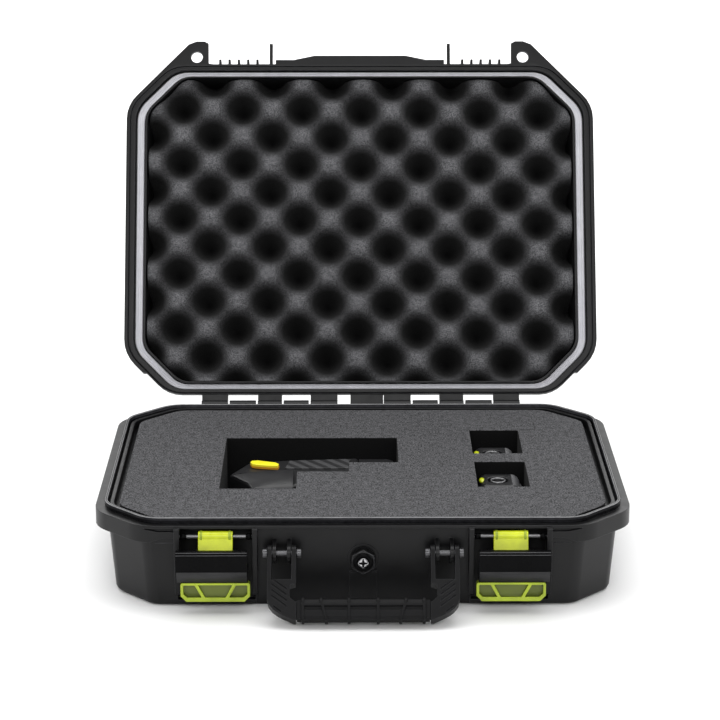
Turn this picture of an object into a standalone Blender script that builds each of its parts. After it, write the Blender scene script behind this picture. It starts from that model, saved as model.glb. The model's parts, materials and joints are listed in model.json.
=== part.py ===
"""Cased hand tool: an open hard-shell case with two latches, a carrying handle and cut foam,
holding a pistol-shaped tool and two plug-in modules. Metres, +Z up, +X right, +Y to the hinge.
The origin is the centre of the base's bottom face. Helper functions take millimetres."""

import math

import bmesh
import bpy
from mathutils import Matrix, Vector

MM = 0.001

# ---- driving dimensions, in millimetres ----
CAVITY_X, CAVITY_Y = 195.5, 141.3     # half width and half depth of the foam cavity
CHAMFER_SUM = 304.1                   # |x| + |y| along the cavity's 45 degree corner
CORNER_R = 20.0
RIM_Z = 67.6                          # top of the base's skirt
TONGUE_Z = 72.5                       # top of the sealing ridge
BAND, BAND_TOP_Z = (3.8, 7.1), 69.8   # the base's inner rim, as outline offsets, and its top
RIDGE_IN, GROOVE_LOW_Z = 9.0, 62.0
FOAM_TOP_Z = 69.3
WALL_X, WALL_FRONT, WALL_REAR = 204.0, 151.5, 147.0
WALL_DRAFT = 0.971                    # width of the base's floor over its width at the rim
LATCH_RECESS_Y, CENTRE_RECESS_Y = -145.8, -148.5
DRAFT = 0.977                         # the same ratio for the cavity and its foam
FLOOR_T = 2.6
LID_SEAT_Z = 68.0                     # underside of the closed lid's flange
FLANGE_TOP_Z = 77.5
LID_TOP_Z = 119.0
LID_DRAFT = 0.965
HINGE_Y, HINGE_Z, HINGE_R = 165.0, 65.3, 5.5
PIN_R, PIN_GAP = 2.0, 0.35
LID_OPEN_DEG = 114.7
LATCH_X = 115.7
PIN_Y, PIN_Z = -153.2, 58.7           # axis of the latch's upper pin
ARM_Y, ARM_Z = -158.0, 46.5           # axis on which the lever turns in the link
HANDLE_Y, HANDLE_Z, HANDLE_LEAN_DEG = -158.5, 46.6, 42.6
SKIRT_LOW_Z, LIP_T = 53.6, 2.6
VALVE_Z = 38.4
TOOL_FLOOR_Z = 20.0
TOOL_TOP_Z = 54.5
TOOL_SPLIT_Z = 37.4
MODULE_TOP_Z = 60.0
GAP = 0.3

# ---- colours, linear, with roughness and metallic value ----
SHELL = ((0.012, 0.012, 0.013), 0.45, 0.0)
FOAM = ((0.08, 0.08, 0.085), 0.95, 0.0)
LID_FOAM = ((0.05, 0.05, 0.052), 0.95, 0.0)
GASKET = ((0.62, 0.62, 0.66), 0.5, 0.0)
LIME = ((0.45, 0.60, 0.03), 0.35, 0.0)
STEEL = ((0.55, 0.55, 0.56), 0.3, 1.0)
BLACK = ((0.008, 0.008, 0.009), 0.4, 0.0)
CARBON = ((0.02, 0.02, 0.022), 0.3, 0.1)
YELLOW = ((0.85, 0.68, 0.03), 0.35, 0.0)
RUBBER = ((0.015, 0.015, 0.015), 0.8, 0.0)

for old in list(bpy.data.objects):
    bpy.data.objects.remove(old)
PARTS = bpy.data.collections.new("cased_tool_kit")
GUIDES = bpy.data.collections.new("axes_and_helpers")
bpy.context.scene.collection.children.link(PARTS)
bpy.context.scene.collection.children.link(GUIDES)


# ---- shape helpers ----
def helper(name, mesh):
    """An object that a later union or cut uses up, or that becomes a part."""
    obj = bpy.data.objects.new(name, mesh)
    GUIDES.objects.link(obj)
    return obj


def bake(obj):
    """Replaces the object's data by its evaluated mesh and drops its modifiers."""
    bpy.context.view_layer.update()
    graph = bpy.context.evaluated_depsgraph_get()
    mesh = bpy.data.meshes.new_from_object(obj.evaluated_get(graph))
    name, matrix = obj.name, obj.matrix_world.copy()
    bpy.data.objects.remove(obj)
    mesh.transform(matrix)
    clean(mesh)
    return helper(name, mesh)


def clean(mesh):
    bm = bmesh.new()
    bm.from_mesh(mesh)
    bmesh.ops.remove_doubles(bm, verts=bm.verts, dist=0.000004)
    bmesh.ops.dissolve_degenerate(bm, edges=bm.edges, dist=0.000004)
    bmesh.ops.recalc_face_normals(bm, faces=bm.faces)
    bm.to_mesh(mesh)
    bm.free()


def plate(name, loops, low, high, axis="Z"):
    """A flat outline, with any inner loops as holes, extruded along one axis.
    The outline's own coordinates are XY for axis Z, YZ for axis X and XZ for axis Y."""
    curve = bpy.data.curves.new(name, "CURVE")
    curve.dimensions = "2D"
    curve.fill_mode = "BOTH"
    curve.extrude = (high - low) / 2 * MM
    for loop in loops:
        spline = curve.splines.new("POLY")
        spline.points.add(len(loop) - 1)
        for point, (u, v) in zip(spline.points, loop):
            point.co = (u * MM, v * MM, 0, 1)
        spline.use_cyclic_u = True
    obj = bake(helper(name, curve))
    middle = (low + high) / 2 * MM
    turn = {
        "Z": Matrix(((1, 0, 0, 0), (0, 1, 0, 0), (0, 0, 1, middle), (0, 0, 0, 1))),
        "X": Matrix(((0, 0, 1, middle), (1, 0, 0, 0), (0, 1, 0, 0), (0, 0, 0, 1))),
        "Y": Matrix(((1, 0, 0, 0), (0, 0, -1, middle), (0, 1, 0, 0), (0, 0, 0, 1))),
    }[axis]
    obj.data.transform(turn)
    return obj


def box(name, low, high):
    mesh = bpy.data.meshes.new(name)
    bm = bmesh.new()
    bmesh.ops.create_cube(bm, size=1.0)
    size = Vector(high) - Vector(low)
    centre = (Vector(high) + Vector(low)) / 2
    bmesh.ops.scale(bm, vec=size * MM, verts=bm.verts)
    bmesh.ops.translate(bm, vec=centre * MM, verts=bm.verts)
    bm.to_mesh(mesh)
    bm.free()
    return helper(name, mesh)


def rod(name, radius, start, end, sides=16, end_radius=None):
    """A cylinder, or a cone where end_radius is given, between two points."""
    mesh = bpy.data.meshes.new(name)
    start, end = Vector(start) * MM, Vector(end) * MM
    along = end - start
    bm = bmesh.new()
    bmesh.ops.create_cone(
        bm, cap_ends=True, segments=sides, radius1=radius * MM,
        radius2=(radius if end_radius is None else end_radius) * MM, depth=along.length,
    )
    turn = Vector((0, 0, 1)).rotation_difference(along).to_matrix().to_4x4()
    bm.transform(Matrix.Translation((start + end) / 2) @ turn)
    bm.to_mesh(mesh)
    bm.free()
    return helper(name, mesh)


def turned(name, profile, sides=24):
    """A profile of (radius, height) points turned about Z, as a closed ring or a solid."""
    mesh = bpy.data.meshes.new(name)
    points = [(r * MM, 0, z * MM) for r, z in profile]
    edges = [(i, i + 1) for i in range(len(points) - 1)]
    if profile[0][0] > 0:
        edges.append((len(points) - 1, 0))
    mesh.from_pydata(points, edges, [])
    obj = helper(name, mesh)
    screw = obj.modifiers.new("turn", "SCREW")
    screw.steps = screw.render_steps = sides
    screw.use_merge_vertices = True
    screw.merge_threshold = 0.00001
    return bake(obj)


def merge(base, others, operation="UNION"):
    """One exact Boolean of the base with all the others, which are then removed."""
    group = bpy.data.collections.new("operands")
    bpy.context.scene.collection.children.link(group)
    for other in others:
        group.objects.link(other)
    tool = base.modifiers.new("merge", "BOOLEAN")
    tool.operation = operation
    tool.solver = "EXACT"
    tool.operand_type = "COLLECTION"
    tool.collection = group
    result = bake(base)
    for other in others:
        bpy.data.objects.remove(other)
    bpy.data.collections.remove(group)
    return result


def cut(base, others):
    """Exact Booleans that take each of the others away in turn."""
    for other in others:
        tool = base.modifiers.new("cut", "BOOLEAN")
        tool.operation = "DIFFERENCE"
        tool.solver = "EXACT"
        tool.object = other
    result = bake(base)
    for other in others:
        bpy.data.objects.remove(other)
    return result


def draft(obj, scale, wide_z, narrow_z, scale_y=1.0):
    """Tapers the object in X, and in Y, from full size at wide_z to scale at narrow_z."""
    for vertex in obj.data.vertices:
        share = min(max((vertex.co.z / MM - wide_z) / (narrow_z - wide_z), 0), 1)
        vertex.co.x *= 1 + (scale - 1) * share
        vertex.co.y *= 1 + (scale_y - 1) * share
    return obj


def round_off(obj, width, segments=1, angle=40):
    bevel = obj.modifiers.new("round", "BEVEL")
    bevel.width = width * MM
    bevel.segments = segments
    bevel.limit_method = "ANGLE"
    bevel.angle_limit = math.radians(angle)
    bevel.use_clamp_overlap = True
    return bake(obj)


def material(name, look):
    colour, roughness, metallic = look
    mat = bpy.data.materials.new(name)
    mat.use_nodes = True
    shader = mat.node_tree.nodes["Principled BSDF"]
    shader.inputs["Base Color"].default_value = (*colour, 1)
    shader.inputs["Roughness"].default_value = roughness
    shader.inputs["Metallic"].default_value = metallic
    mat.diffuse_color = (*colour, 1)
    return mat


def finish(obj, name, look, axis=None):
    """Names a part, gives it its material, and hangs it on its joint's empty."""
    obj.name = name
    obj.data.name = name
    obj.data.materials.clear()
    obj.data.materials.append(material(name, look))
    GUIDES.objects.unlink(obj)
    PARTS.objects.link(obj)
    obj.data.shade_smooth()
    obj.data.set_sharp_from_angle(angle=math.radians(35))
    if axis is not None:
        obj.parent = axis
        obj.matrix_parent_inverse = Matrix.Translation(axis.location).inverted()
    return obj


def joint_axis(name, place):
    empty = bpy.data.objects.new(name, None)
    empty.location = Vector(place) * MM
    GUIDES.objects.link(empty)
    return empty


# ---- outline helpers ----
def rounded(corners, radius, steps=3):
    """A polygon's points with each corner replaced by an arc of the given radius."""
    count = len(corners)
    loop = []
    for i, corner in enumerate(corners):
        before = (Vector(corners[i - 1]) - Vector(corner))
        after = (Vector(corners[(i + 1) % count]) - Vector(corner))
        half = before.angle(after) / 2
        reach = min(radius / math.tan(half), before.length * 0.49, after.length * 0.49)
        arc = reach * math.tan(half)
        middle = Vector(corner) + (before.normalized() + after.normalized()).normalized() * (arc / math.sin(half))
        first = Vector(corner) + before.normalized() * reach - middle
        last = Vector(corner) + after.normalized() * reach - middle
        sweep = first.angle_signed(last)
        for step in range(steps + 1):
            angle = -sweep * step / steps
            turn = Matrix.Rotation(angle, 2)
            loop.append(tuple(middle + turn @ first))
    return loop


def octagon(offset, steps=3):
    """The case's outline, grown outward from the cavity by offset."""
    half_x = CAVITY_X + offset
    half_y = CAVITY_Y + 0.68 * offset
    total = CHAMFER_SUM + 1.38 * offset
    corners = [
        (half_x, -(total - half_x)), (half_x, total - half_x), (total - half_y, half_y),
        (-(total - half_y), half_y), (-half_x, total - half_x), (-half_x, -(total - half_x)),
        (-(total - half_y), -half_y), (total - half_y, -half_y),
    ]
    return rounded(corners, CORNER_R + 0.6 * offset, steps)


def arc(centre, radius, start_deg, end_deg, steps):
    """Points on an arc, both ends included."""
    angles = [math.radians(start_deg + (end_deg - start_deg) * i / steps) for i in range(steps + 1)]
    return [(centre[0] + radius * math.cos(a), centre[1] + radius * math.sin(a)) for a in angles]


def wall_outline():
    """The base wall's outline at the rim: wider chamfers in front than behind."""
    front, rear = 323.0 - WALL_X, 316.0 - WALL_X
    corners = [
        (WALL_X, -front), (WALL_X, rear), (316.0 - WALL_REAR, WALL_REAR), (WALL_REAR - 316.0, WALL_REAR),
        (-WALL_X, rear), (-WALL_X, -front), (WALL_FRONT - 323.0, -WALL_FRONT), (323.0 - WALL_FRONT, -WALL_FRONT),
    ]
    return rounded(corners, 16.0, 4)


def rectangle(x0, x1, y0, y1):
    return [(x0, y0), (x1, y0), (x1, y1), (x0, y1)]


def flipped(loop):
    return [(-x, y) for x, y in reversed(loop)]


# ---- hinge ----
LID_KNUCKLES = ((21.0, 45.4), (71.5, 93.2), (120.4, 144.0))
BASE_KNUCKLES = ((47.1, 69.8), (94.9, 118.7))
SIDES = (-1, 1)


def span(side, inner, outer):
    return sorted((side * inner, side * outer))


def knuckle(side, reach, web):
    """One hinge barrel along X with the web that carries it."""
    low, high = span(side, *reach)
    barrel = rod("barrel", HINGE_R, (low, HINGE_Y, HINGE_Z), (high, HINGE_Y, HINGE_Z))
    return merge(barrel, [plate("web", [web], low, high, "X")])


def hinge_bores(reach):
    radius = PIN_R + PIN_GAP
    return [
        rod("bore", radius, (side * 15, HINGE_Y, HINGE_Z), (side * reach, HINGE_Y, HINGE_Z))
        for side in SIDES
    ]


# ---- base ----
def guard_profile():
    """Side outline of a latch guard plate, tapering down the front wall."""
    return [(-144, 66), (-157.8, 66), (-158.5, 56.0), (-157.5, 30.0), (-153.5, 10.0), (-144, 6.0)]


GUARD_SPANS = ((144.0, 148.3), (83.0, 87.0))
HANDLE_LUGS = ((68.0, 71.0), (56.6, 59.6))


def build_lower_shell():
    shell = draft(plate("shell", [wall_outline()], 0, RIM_Z - 1, "Z"), WALL_DRAFT, RIM_Z, 0)
    shell = round_rim(shell, 0, 4.0)
    skirt = plate("skirt", [octagon(18.7, 4)], SKIRT_LOW_Z, RIM_Z)
    tongue = plate("tongue", [octagon(11.1, 4)], RIM_Z - 0.5, TONGUE_Z)
    shell = merge(shell, [skirt, tongue])
    shell = cut(shell, front_reliefs() + [skirt_hollow(side) for side in SIDES])
    additions = []
    for side in SIDES:
        for inner, outer in GUARD_SPANS:
            low, high = span(side, inner, outer)
            additions.append(plate("guard", [guard_profile()], low, high, "X"))
        for inner, outer in HANDLE_LUGS:
            low, high = span(side, inner, outer)
            lug = [(-145, 56), *arc((HANDLE_Y, HANDLE_Z), 6.5, 100, 260, 8), (-145, 32)]
            additions.append(plate("lug", [lug], low, high, "X"))
        for reach in BASE_KNUCKLES:
            web = [(HINGE_Y, 59.9), (HINGE_Y, 68), (HINGE_Y - 7, 67), (150, 67), (150, 52)]
            additions.append(knuckle(side, reach, web))
    additions.append(plate("valve_boss", [rectangle(-10.8, 10.8, 6.0, 28.0)], CENTRE_RECESS_Y - 2.2, -144.0, "Y"))
    additions.append(rod("valve_seat", 12.5, (0, -144, VALVE_Z), (0, CENTRE_RECESS_Y - 1.2, VALVE_Z), 24))
    shell = merge(shell, additions)
    cavity = draft(plate("cavity", [octagon(0.4, 4)], FLOOR_T, RIM_Z + 0.01), DRAFT, RIM_Z, FLOOR_T)
    foam_gap = plate("foam_gap", [octagon(BAND[0], 4)], GROOVE_LOW_Z, 80)
    band_top = plate("band_top", [octagon(BAND[1] + 0.1, 4)], BAND_TOP_Z, 80)
    seal_groove = plate("seal_groove", [octagon(RIDGE_IN, 4), octagon(BAND[1], 4)], GROOVE_LOW_Z + 3.0, 80)
    bores = hinge_bores(146.5)
    for side in SIDES:
        bores.append(rod("handle_bore", 2.9, (side * 55, HANDLE_Y, HANDLE_Z), (side * 73, HANDLE_Y, HANDLE_Z)))
        bores.append(rod("latch_bore", 1.9, (side * 85.0, PIN_Y, PIN_Z), (side * 146.3, PIN_Y, PIN_Z)))
    bores.append(rod("valve_bore", 4.6, (0, -160, VALVE_Z), (0, -130, VALVE_Z)))
    return finish(cut(shell, [cavity, foam_gap, band_top, seal_groove] + bores), "lower_shell", SHELL)


def round_rim(obj, level, width, segments=2):
    """Rounds the outer edges that lie at one height."""
    bm = bmesh.new()
    bm.from_mesh(obj.data)
    edges = [
        e for e in bm.edges
        if all(abs(v.co.z - level * MM) < 0.0001 for v in e.verts) and any(abs(f.normal.z) < 0.5 for f in e.link_faces)
    ]
    bmesh.ops.bevel(bm, geom=edges, offset=width * MM, segments=segments, profile=0.5, affect="EDGES")
    bm.to_mesh(obj.data)
    bm.free()
    clean(obj.data)
    return obj


def skirt_hollow(side):
    """The hollow behind the side skirt, open downward, which stops short of the corners."""
    ring = plate("hollow", [octagon(15.0, 4), octagon(10.0, 4)], SKIRT_LOW_Z - 0.1, 63.0)
    low, high = span(side, 150, 260)
    return cut(ring, [box("front", (-260, -180, 30), (260, -112, 90)), box("rear", (-260, 112, 30), (260, 180, 90)),
                      box("other_side", (-high, -180, 30), (-low, 180, 90))])


def front_reliefs():
    """Only a thin lip of the skirt crosses the front. At each corner the skirt runs out into a rib under
    that lip. The wall is set back at each latch and in the middle."""
    behind = 0.2 - WALL_FRONT
    lip_z = RIM_Z - LIP_T
    reliefs = [box("lip_relief", (-146, -175, 40), (146, behind, lip_z))]
    over_rib = [(-172, lip_z - 0.3), (-160, 62.6), (-146, 62.6), (-146, lip_z), (-172, lip_z)]
    under_rib = [(-171, SKIRT_LOW_Z - 1), (-146, SKIRT_LOW_Z - 1), (-146, 57.4), (-158, 57.0)]
    for loop in (over_rib, under_rib):
        for outline in (loop, flipped(loop)):
            reliefs.append(plate("rib_relief", [outline], -175, behind, "Y"))
    for side in SIDES:
        low, high = span(side, 85.0, 146.0)
        reliefs.append(box("latch_recess", (low, -175, 5), (high, LATCH_RECESS_Y, lip_z)))
    reliefs.append(box("centre_recess", (-84.0, -175, -5), (84.0, CENTRE_RECESS_Y, lip_z)))
    return reliefs


def build_foam():
    pad = draft(plate("pad", [octagon(-0.3)], FLOOR_T + GAP, TOOL_FLOOR_Z), DRAFT, RIM_Z, FLOOR_T)
    finish(pad, "base_foam_pad", FOAM)
    pocket = [(-116.5, 61), (-116.5, -70), (-54.2, -70), (-54.2, -27.4), (-11.2, -27.4),
              (-11.2, -4), (30.5, -4), (30.5, 61)]
    windows = [rectangle(94.4, 136.6, -66.4, -3.9), rectangle(94.4, 136.6, 19.0, 81.4)]
    insert = plate("insert", [octagon(-0.3)], TOOL_FLOOR_Z + GAP, FOAM_TOP_Z)
    insert = draft(insert, DRAFT, RIM_Z, FLOOR_T)
    holes = [plate("hole", [pocket], 10, 80)] + [plate("hole", [w], 10, 80) for w in windows]
    finish(cut(insert, holes), "base_foam_insert", FOAM)


# ---- lid, modelled closed and then turned open about the hinge ----
LIP_STEP_Y = 133.8                    # behind this the lid's lip is narrower, to clear the hinge


def build_lid(axis):
    outer = plate("flange", [octagon(19.9, 4)], LID_SEAT_Z, FLANGE_TOP_Z)
    trim = plate("trim", [octagon(30.0, 4), octagon(17.8, 4)], LID_SEAT_Z - 1, FLANGE_TOP_Z + 1)
    outer = cut(outer, [cut(trim, [box("front", (-260, -260, 60), (260, LIP_STEP_Y, 90))])])
    dome = plate("dome", [octagon(5.0, 4)], FLANGE_TOP_Z - 1, LID_TOP_Z)
    dome = round_rim(draft(dome, LID_DRAFT, FLANGE_TOP_Z, LID_TOP_Z, LID_DRAFT), LID_TOP_Z, 6.0)
    additions = [dome]
    ear = [(-131, -150), (-131, -154), (-140, -155.5), (-140.2, -174.5), (-143.9, -176.5), (-151.3, -176.5),
           (-158.7, -173.6), (-165, -167.2), (-208.5, -122.5), (-195, -118), (-160, -146)]
    for loop in (ear, flipped(ear)):
        additions.append(plate("ear", [loop], LID_SEAT_Z, LID_SEAT_Z + 5.0))
    for side in SIDES:
        for rib in range(5):
            x = side * (94.9 + 8.6 * rib)
            additions.append(box("rib", (x - 1.1, -159.3, LID_SEAT_Z), (x + 1.1, -150, 82)))
        low, high = span(side, 80.6, 83.6)
        additions.append(box("post", (low, -174.2, LID_SEAT_Z), (high, -150, 74)))
        for reach in LID_KNUCKLES:
            web = [(HINGE_Y, 62.0), (HINGE_Y + 3, 70.5), (HINGE_Y - 4, 74.5), (150, 76), (150, 68.3), (HINGE_Y - 5, 68.3)]
            additions.append(knuckle(side, reach, web))
    additions.append(box("centre_stop", (-9.3, 150, 69.5), (20.4, 164, 75)))
    additions.append(box("nose", (-78, -158.8, LID_SEAT_Z), (78, -150, 84)))
    raised = [(-65, -158), (-42, -162.8), (42, -162.8), (65, -158)]
    additions.append(plate("nose_top", [raised], LID_SEAT_Z, 80))
    lid = merge(outer, additions)
    cavity = draft(plate("cavity", [octagon(0.7, 4)], FLANGE_TOP_Z, LID_TOP_Z - 3), LID_DRAFT, FLANGE_TOP_Z, LID_TOP_Z, LID_DRAFT)
    mouth = plate("mouth", [octagon(0.7, 4)], 50, FLANGE_TOP_Z + 0.01)
    channel = plate("channel", [octagon(11.5, 4), octagon(2.8, 4)], 60, 75.2)
    groove = plate("edge_groove", [octagon(16.7, 4), octagon(15.7, 4)], 60, LID_SEAT_Z + 1.5)
    holes = [rod("padlock", 5.4, (side * 150.9, -161.6, 60), (side * 150.9, -161.6, 80)) for side in SIDES]
    lid = cut(lid, [cavity, mouth, channel, groove] + holes + hinge_bores(138.0))
    finish(lid, "upper_shell", SHELL, axis)
    gasket = plate("gasket", [octagon(9.2, 4), octagon(3.9, 4)], TONGUE_Z + 0.4, 74.9)
    finish(gasket, "lid_gasket", GASKET, axis)
    foam_low, foam_high = 70.8, LID_TOP_Z - 3 - GAP
    foam = draft(plate("lid_foam", [octagon(-0.2)], foam_low, foam_high), LID_DRAFT, foam_low, foam_high, LID_DRAFT)
    finish(foam, "lid_foam", LID_FOAM, axis)


def build_hinge_pins():
    for side, word in zip(SIDES, ("left", "right")):
        pin = rod("pin", PIN_R, (side * 21.5, HINGE_Y, HINGE_Z), (side * 137.5, HINGE_Y, HINGE_Z))
        finish(pin, f"hinge_pin_{word}", STEEL)


# ---- latches ----
def build_latch(side, word):
    centre = side * LATCH_X
    pin_axis = joint_axis(f"latch_{word}_pin_axis", (centre, PIN_Y, PIN_Z))
    arm_axis = joint_axis(f"latch_{word}_arm_axis", (centre, ARM_Y, ARM_Z))
    low, high = centre - 13.5, centre + 13.5
    finish(rod("pin", 1.6, (centre - 29.5, PIN_Y, PIN_Z), (centre + 29.5, PIN_Y, PIN_Z)), f"latch_{word}_pin", STEEL)
    link = merge(
        rod("roller", 4.4, (low, PIN_Y, PIN_Z), (high, PIN_Y, PIN_Z), 20),
        [plate("cheek", [[(-157.4, 58.7), (-149.6, 58.7), (-152.5, 46.5), (-154.5, 43.0), (-160.5, 43.0), (-162.0, 47.0)]],
               low, high, "X")],
    )
    bore = rod("bore", 1.95, (low - 2, PIN_Y, PIN_Z), (high + 2, PIN_Y, PIN_Z))
    lower_bore = rod("bore", 1.7, (low - 2, ARM_Y, ARM_Z), (high + 2, ARM_Y, ARM_Z))
    finish(cut(link, [bore, lower_bore]), f"latch_{word}_link", LIME, pin_axis)
    finish(
        rod("arm_pin", 1.35, (centre - 18.0, ARM_Y, ARM_Z), (centre + 18.0, ARM_Y, ARM_Z), 12),
        f"latch_{word}_arm_pin", STEEL, arm_axis,
    )
    build_lever(side, word, centre, arm_axis)


def build_lever(side, word, centre, axis):
    """The black over-centre lever with its lime pull tray."""
    low, high = centre + side * 2.6 - 28.2, centre + side * 2.6 + 28.2
    profile = [(-167.0, 52.4), (-171.5, 52.4), (-173.5, 50.5), (-173.5, 36.5), (-168.8, 26.0), (-164.0, 26.0),
               (-164.0, 34.0), (-167.0, 40.0)]
    face = plate("face", [profile], low, high, "X")
    cheeks = []
    for inner, outer in ((14.2, 17.6), (-17.6, -14.2)):
        cheek = [(-168.5, 51.0), (-162.0, 51.0), (-154.4, 48.5), (-154.0, 45.0), (-156.0, 43.0), (-161.0, 42.0),
                 (-168.5, 38.0)]
        cheeks.append(plate("cheek", [cheek], centre + inner, centre + outer, "X"))
    lever = merge(face, cheeks)
    bore = rod("bore", 1.6, (centre - 30, ARM_Y, ARM_Z), (centre + 30, ARM_Y, ARM_Z), 12)
    finish(cut(lever, [bore]), f"latch_{word}_lever", BLACK, axis)
    finish(build_pull(centre), f"latch_{word}_pull", LIME, axis)


def build_pull(centre):
    """A tray with a raised rim, two slanted ribs and chamfered lower corners."""
    def at(points):
        return [(centre + x, z) for x, z in points]

    outline = at([(-27.2, 24.6), (-26.0, 25.8), (26.0, 25.8), (27.2, 24.6), (27.2, 14.8), (22.8, 10.2), (-22.8, 10.2),
                  (-27.2, 14.8)])
    middle_pocket = at([(-13.4, 24.0), (13.4, 24.0), (8.0, 13.8), (-8.0, 13.8)])
    side_pocket = [(-25.0, 23.8), (-16.2, 23.8), (-10.8, 13.8), (-22.0, 13.8), (-25.0, 16.6)]
    tray = plate("tray", [outline], -169.5, -163.0, "Y")
    pockets = [plate("pocket", [middle_pocket], -175, -166.9, "Y")]
    for loop in (at(side_pocket), at(flipped(side_pocket))):
        pockets.append(plate("pocket", [loop], -175, -165.2, "Y"))
    tray = cut(tray, pockets)
    tongue = box("tongue", (centre - 24, -163.6, 12), (centre + 24, -161.4, 40.5))
    return merge(tray, [tongue])


# ---- carrying handle, modelled hanging straight down ----
HANDLE_CHEEKS = ((71.6, 74.8), (52.6, 56.0))
HANDLE_DEPTH, GRIP_HALF = 57.5, 51.6


def arm_outline(side):
    """Front outline of one arm below its fork, with the big outer lower corner as an arc."""
    bottom = HANDLE_Z - HANDLE_DEPTH
    corner = [(74.8, 18.0), (73.6, 13.5), (70.4, 9.2), (66.5, 6.3), (62.6, 4.1), (58.0, 2.0), (54.5, 0.3)]
    loop = [(52.6, HANDLE_Z - 23.8), (74.8, HANDLE_Z - 23.8), *((x, bottom + rise) for x, rise in corner),
            (GRIP_HALF + 0.6, bottom), (GRIP_HALF + 0.6, HANDLE_Z - 43.0), (57.3, HANDLE_Z - 38.5),
            (57.3, HANDLE_Z - 28.5), (52.6, HANDLE_Z - 27.0)]
    return [(side * x, z) for x, z in loop]


def arm_grooves(side):
    """Slanted decorative grooves in the arm's front face."""
    grooves = []
    for number in range(5):
        z = HANDLE_Z - 33.0 - 4.7 * number
        reach = (59.5, 71.5) if number < 4 else (63.5, 70.0)
        start, end = (side * reach[0], z), (side * reach[1], z + 0.75 * (reach[1] - reach[0]))
        loop = [start, end, (end[0], end[1] + 1.7), (start[0], start[1] + 1.7)]
        grooves.append(plate("groove", [loop], HANDLE_Y - 8, HANDLE_Y - 4.6, "Y"))
    return grooves


def build_handle(axis):
    pieces = []
    for side in SIDES:
        pieces.append(plate("arm", [arm_outline(side)], HANDLE_Y - 5.5, HANDLE_Y + 4.5, "Y"))
        for inner, outer in HANDLE_CHEEKS:
            low, high = span(side, inner, outer)
            eye = [*arc((HANDLE_Y, HANDLE_Z), 6.5, 0, 180, 9), (HANDLE_Y - 5.5, HANDLE_Z - 25.3),
                   (HANDLE_Y + 4.5, HANDLE_Z - 25.3)]
            pieces.append(plate("cheek", [eye], low, high, "X"))
    bar = box("bar", (-53, HANDLE_Y - 4.0, HANDLE_Z - 54.6), (53, HANDLE_Y + 3.0, HANDLE_Z - 41.6))
    frame = merge(bar, pieces)
    cutters = [rod("bore", 2.9, (side * 50, HANDLE_Y, HANDLE_Z), (side * 77, HANDLE_Y, HANDLE_Z)) for side in SIDES]
    for side in SIDES:
        cutters += arm_grooves(side)
    finish(cut(frame, cutters), "handle_frame", SHELL, axis)
    low, high = HANDLE_Z - 57.6, HANDLE_Z - 38.7
    sleeve = rounded([(HANDLE_Y - 8.4, low), (HANDLE_Y + 6.4, low), (HANDLE_Y + 6.4, high), (HANDLE_Y - 8.4, high)],
                     5.0, 3)
    hollow = rectangle(HANDLE_Y - 4.4, HANDLE_Y + 3.4, HANDLE_Z - 55.0, HANDLE_Z - 41.2)
    finish(plate("grip", [sleeve, hollow], -GRIP_HALF, GRIP_HALF, "X"), "handle_grip", RUBBER, axis)


def build_handle_pins():
    """Each pivot pin has a round head at both ends."""
    for side, word in zip(SIDES, ("left", "right")):
        shaft = rod("shaft", 2.5, (side * 49, HANDLE_Y, HANDLE_Z), (side * 78, HANDLE_Y, HANDLE_Z))
        heads = [
            rod("head", 3.9, (side * low, HANDLE_Y, HANDLE_Z), (side * high, HANDLE_Y, HANDLE_Z))
            for low, high in ((48.6, 52.2), (75.2, 78.8))
        ]
        finish(merge(shaft, heads), f"handle_pin_{word}", STEEL)


# ---- pressure valve ----
def build_valve():
    place = Matrix.Translation((0, (CENTRE_RECESS_Y - 1.2 - GAP) * MM, VALVE_Z * MM)) @ Matrix.Rotation(math.radians(90), 4, "X")
    nut = rod("nut", 10.6, (0, 0, 1.6), (0, 0, 7.2), 6)
    dome = turned("dome", [(0, 9.6), (4.0, 9.6), (7.4, 8.4), (8.9, 6.8), (8.9, 1.7), (0, 1.7)])
    stem = rod("stem", 4.1, (0, 0, -5.5), (0, 0, 3))
    body = merge(nut, [dome, stem])
    body = cut(body, [rod("seat", 4.6, (0, 0, 7.6), (0, 0, 12), 20)])
    body.data.transform(place)
    finish(body, "valve_body", BLACK)
    seal = turned("seal", [(10.4, 1.3), (10.4, 0.0), (5.2, 0.0), (5.2, 1.3)])
    seal.data.transform(place)
    finish(seal, "valve_seal", RUBBER)
    screw = turned("screw", [(0, 9.9), (3.0, 9.9), (4.2, 9.0), (4.2, 7.9), (0, 7.9)], 20)
    slots = [box("slot", (-5, -0.6, 9.2), (5, 0.6, 11)), box("slot", (-0.6, -5, 9.2), (0.6, 5, 11))]
    screw = cut(screw, slots)
    screw.data.transform(place)
    finish(screw, "valve_screw", STEEL, joint_axis("valve_axis", (0, -155, VALVE_Z)))


# ---- the tool, lying on its side in its pocket ----
TOOL_OUTLINE = [(-112.0, 7.5), (-96, -14), (-91, -30), (-90, -59.5), (-58, -60.5), (-57, -21), (-54, -18.5),
                (-20, -17.5), (-14, -12), (-12.5, 7), (-3, 8.5), (-3, 50.5), (-66, 45.0), (-97, 38)]
GUARD_HOLE = [(-51, -14.5), (-23, -13.5), (-18.5, -9), (-18, 2), (-50.5, 2)]
TRIGGER_PIVOT = (-41.5, 11.0)
SCREWS = ((-76.0, -54.0), (-88.0, 1.5), (-7.5, 14.0))
LEVER_PIVOT = (-90.5, 26.0)


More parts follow.
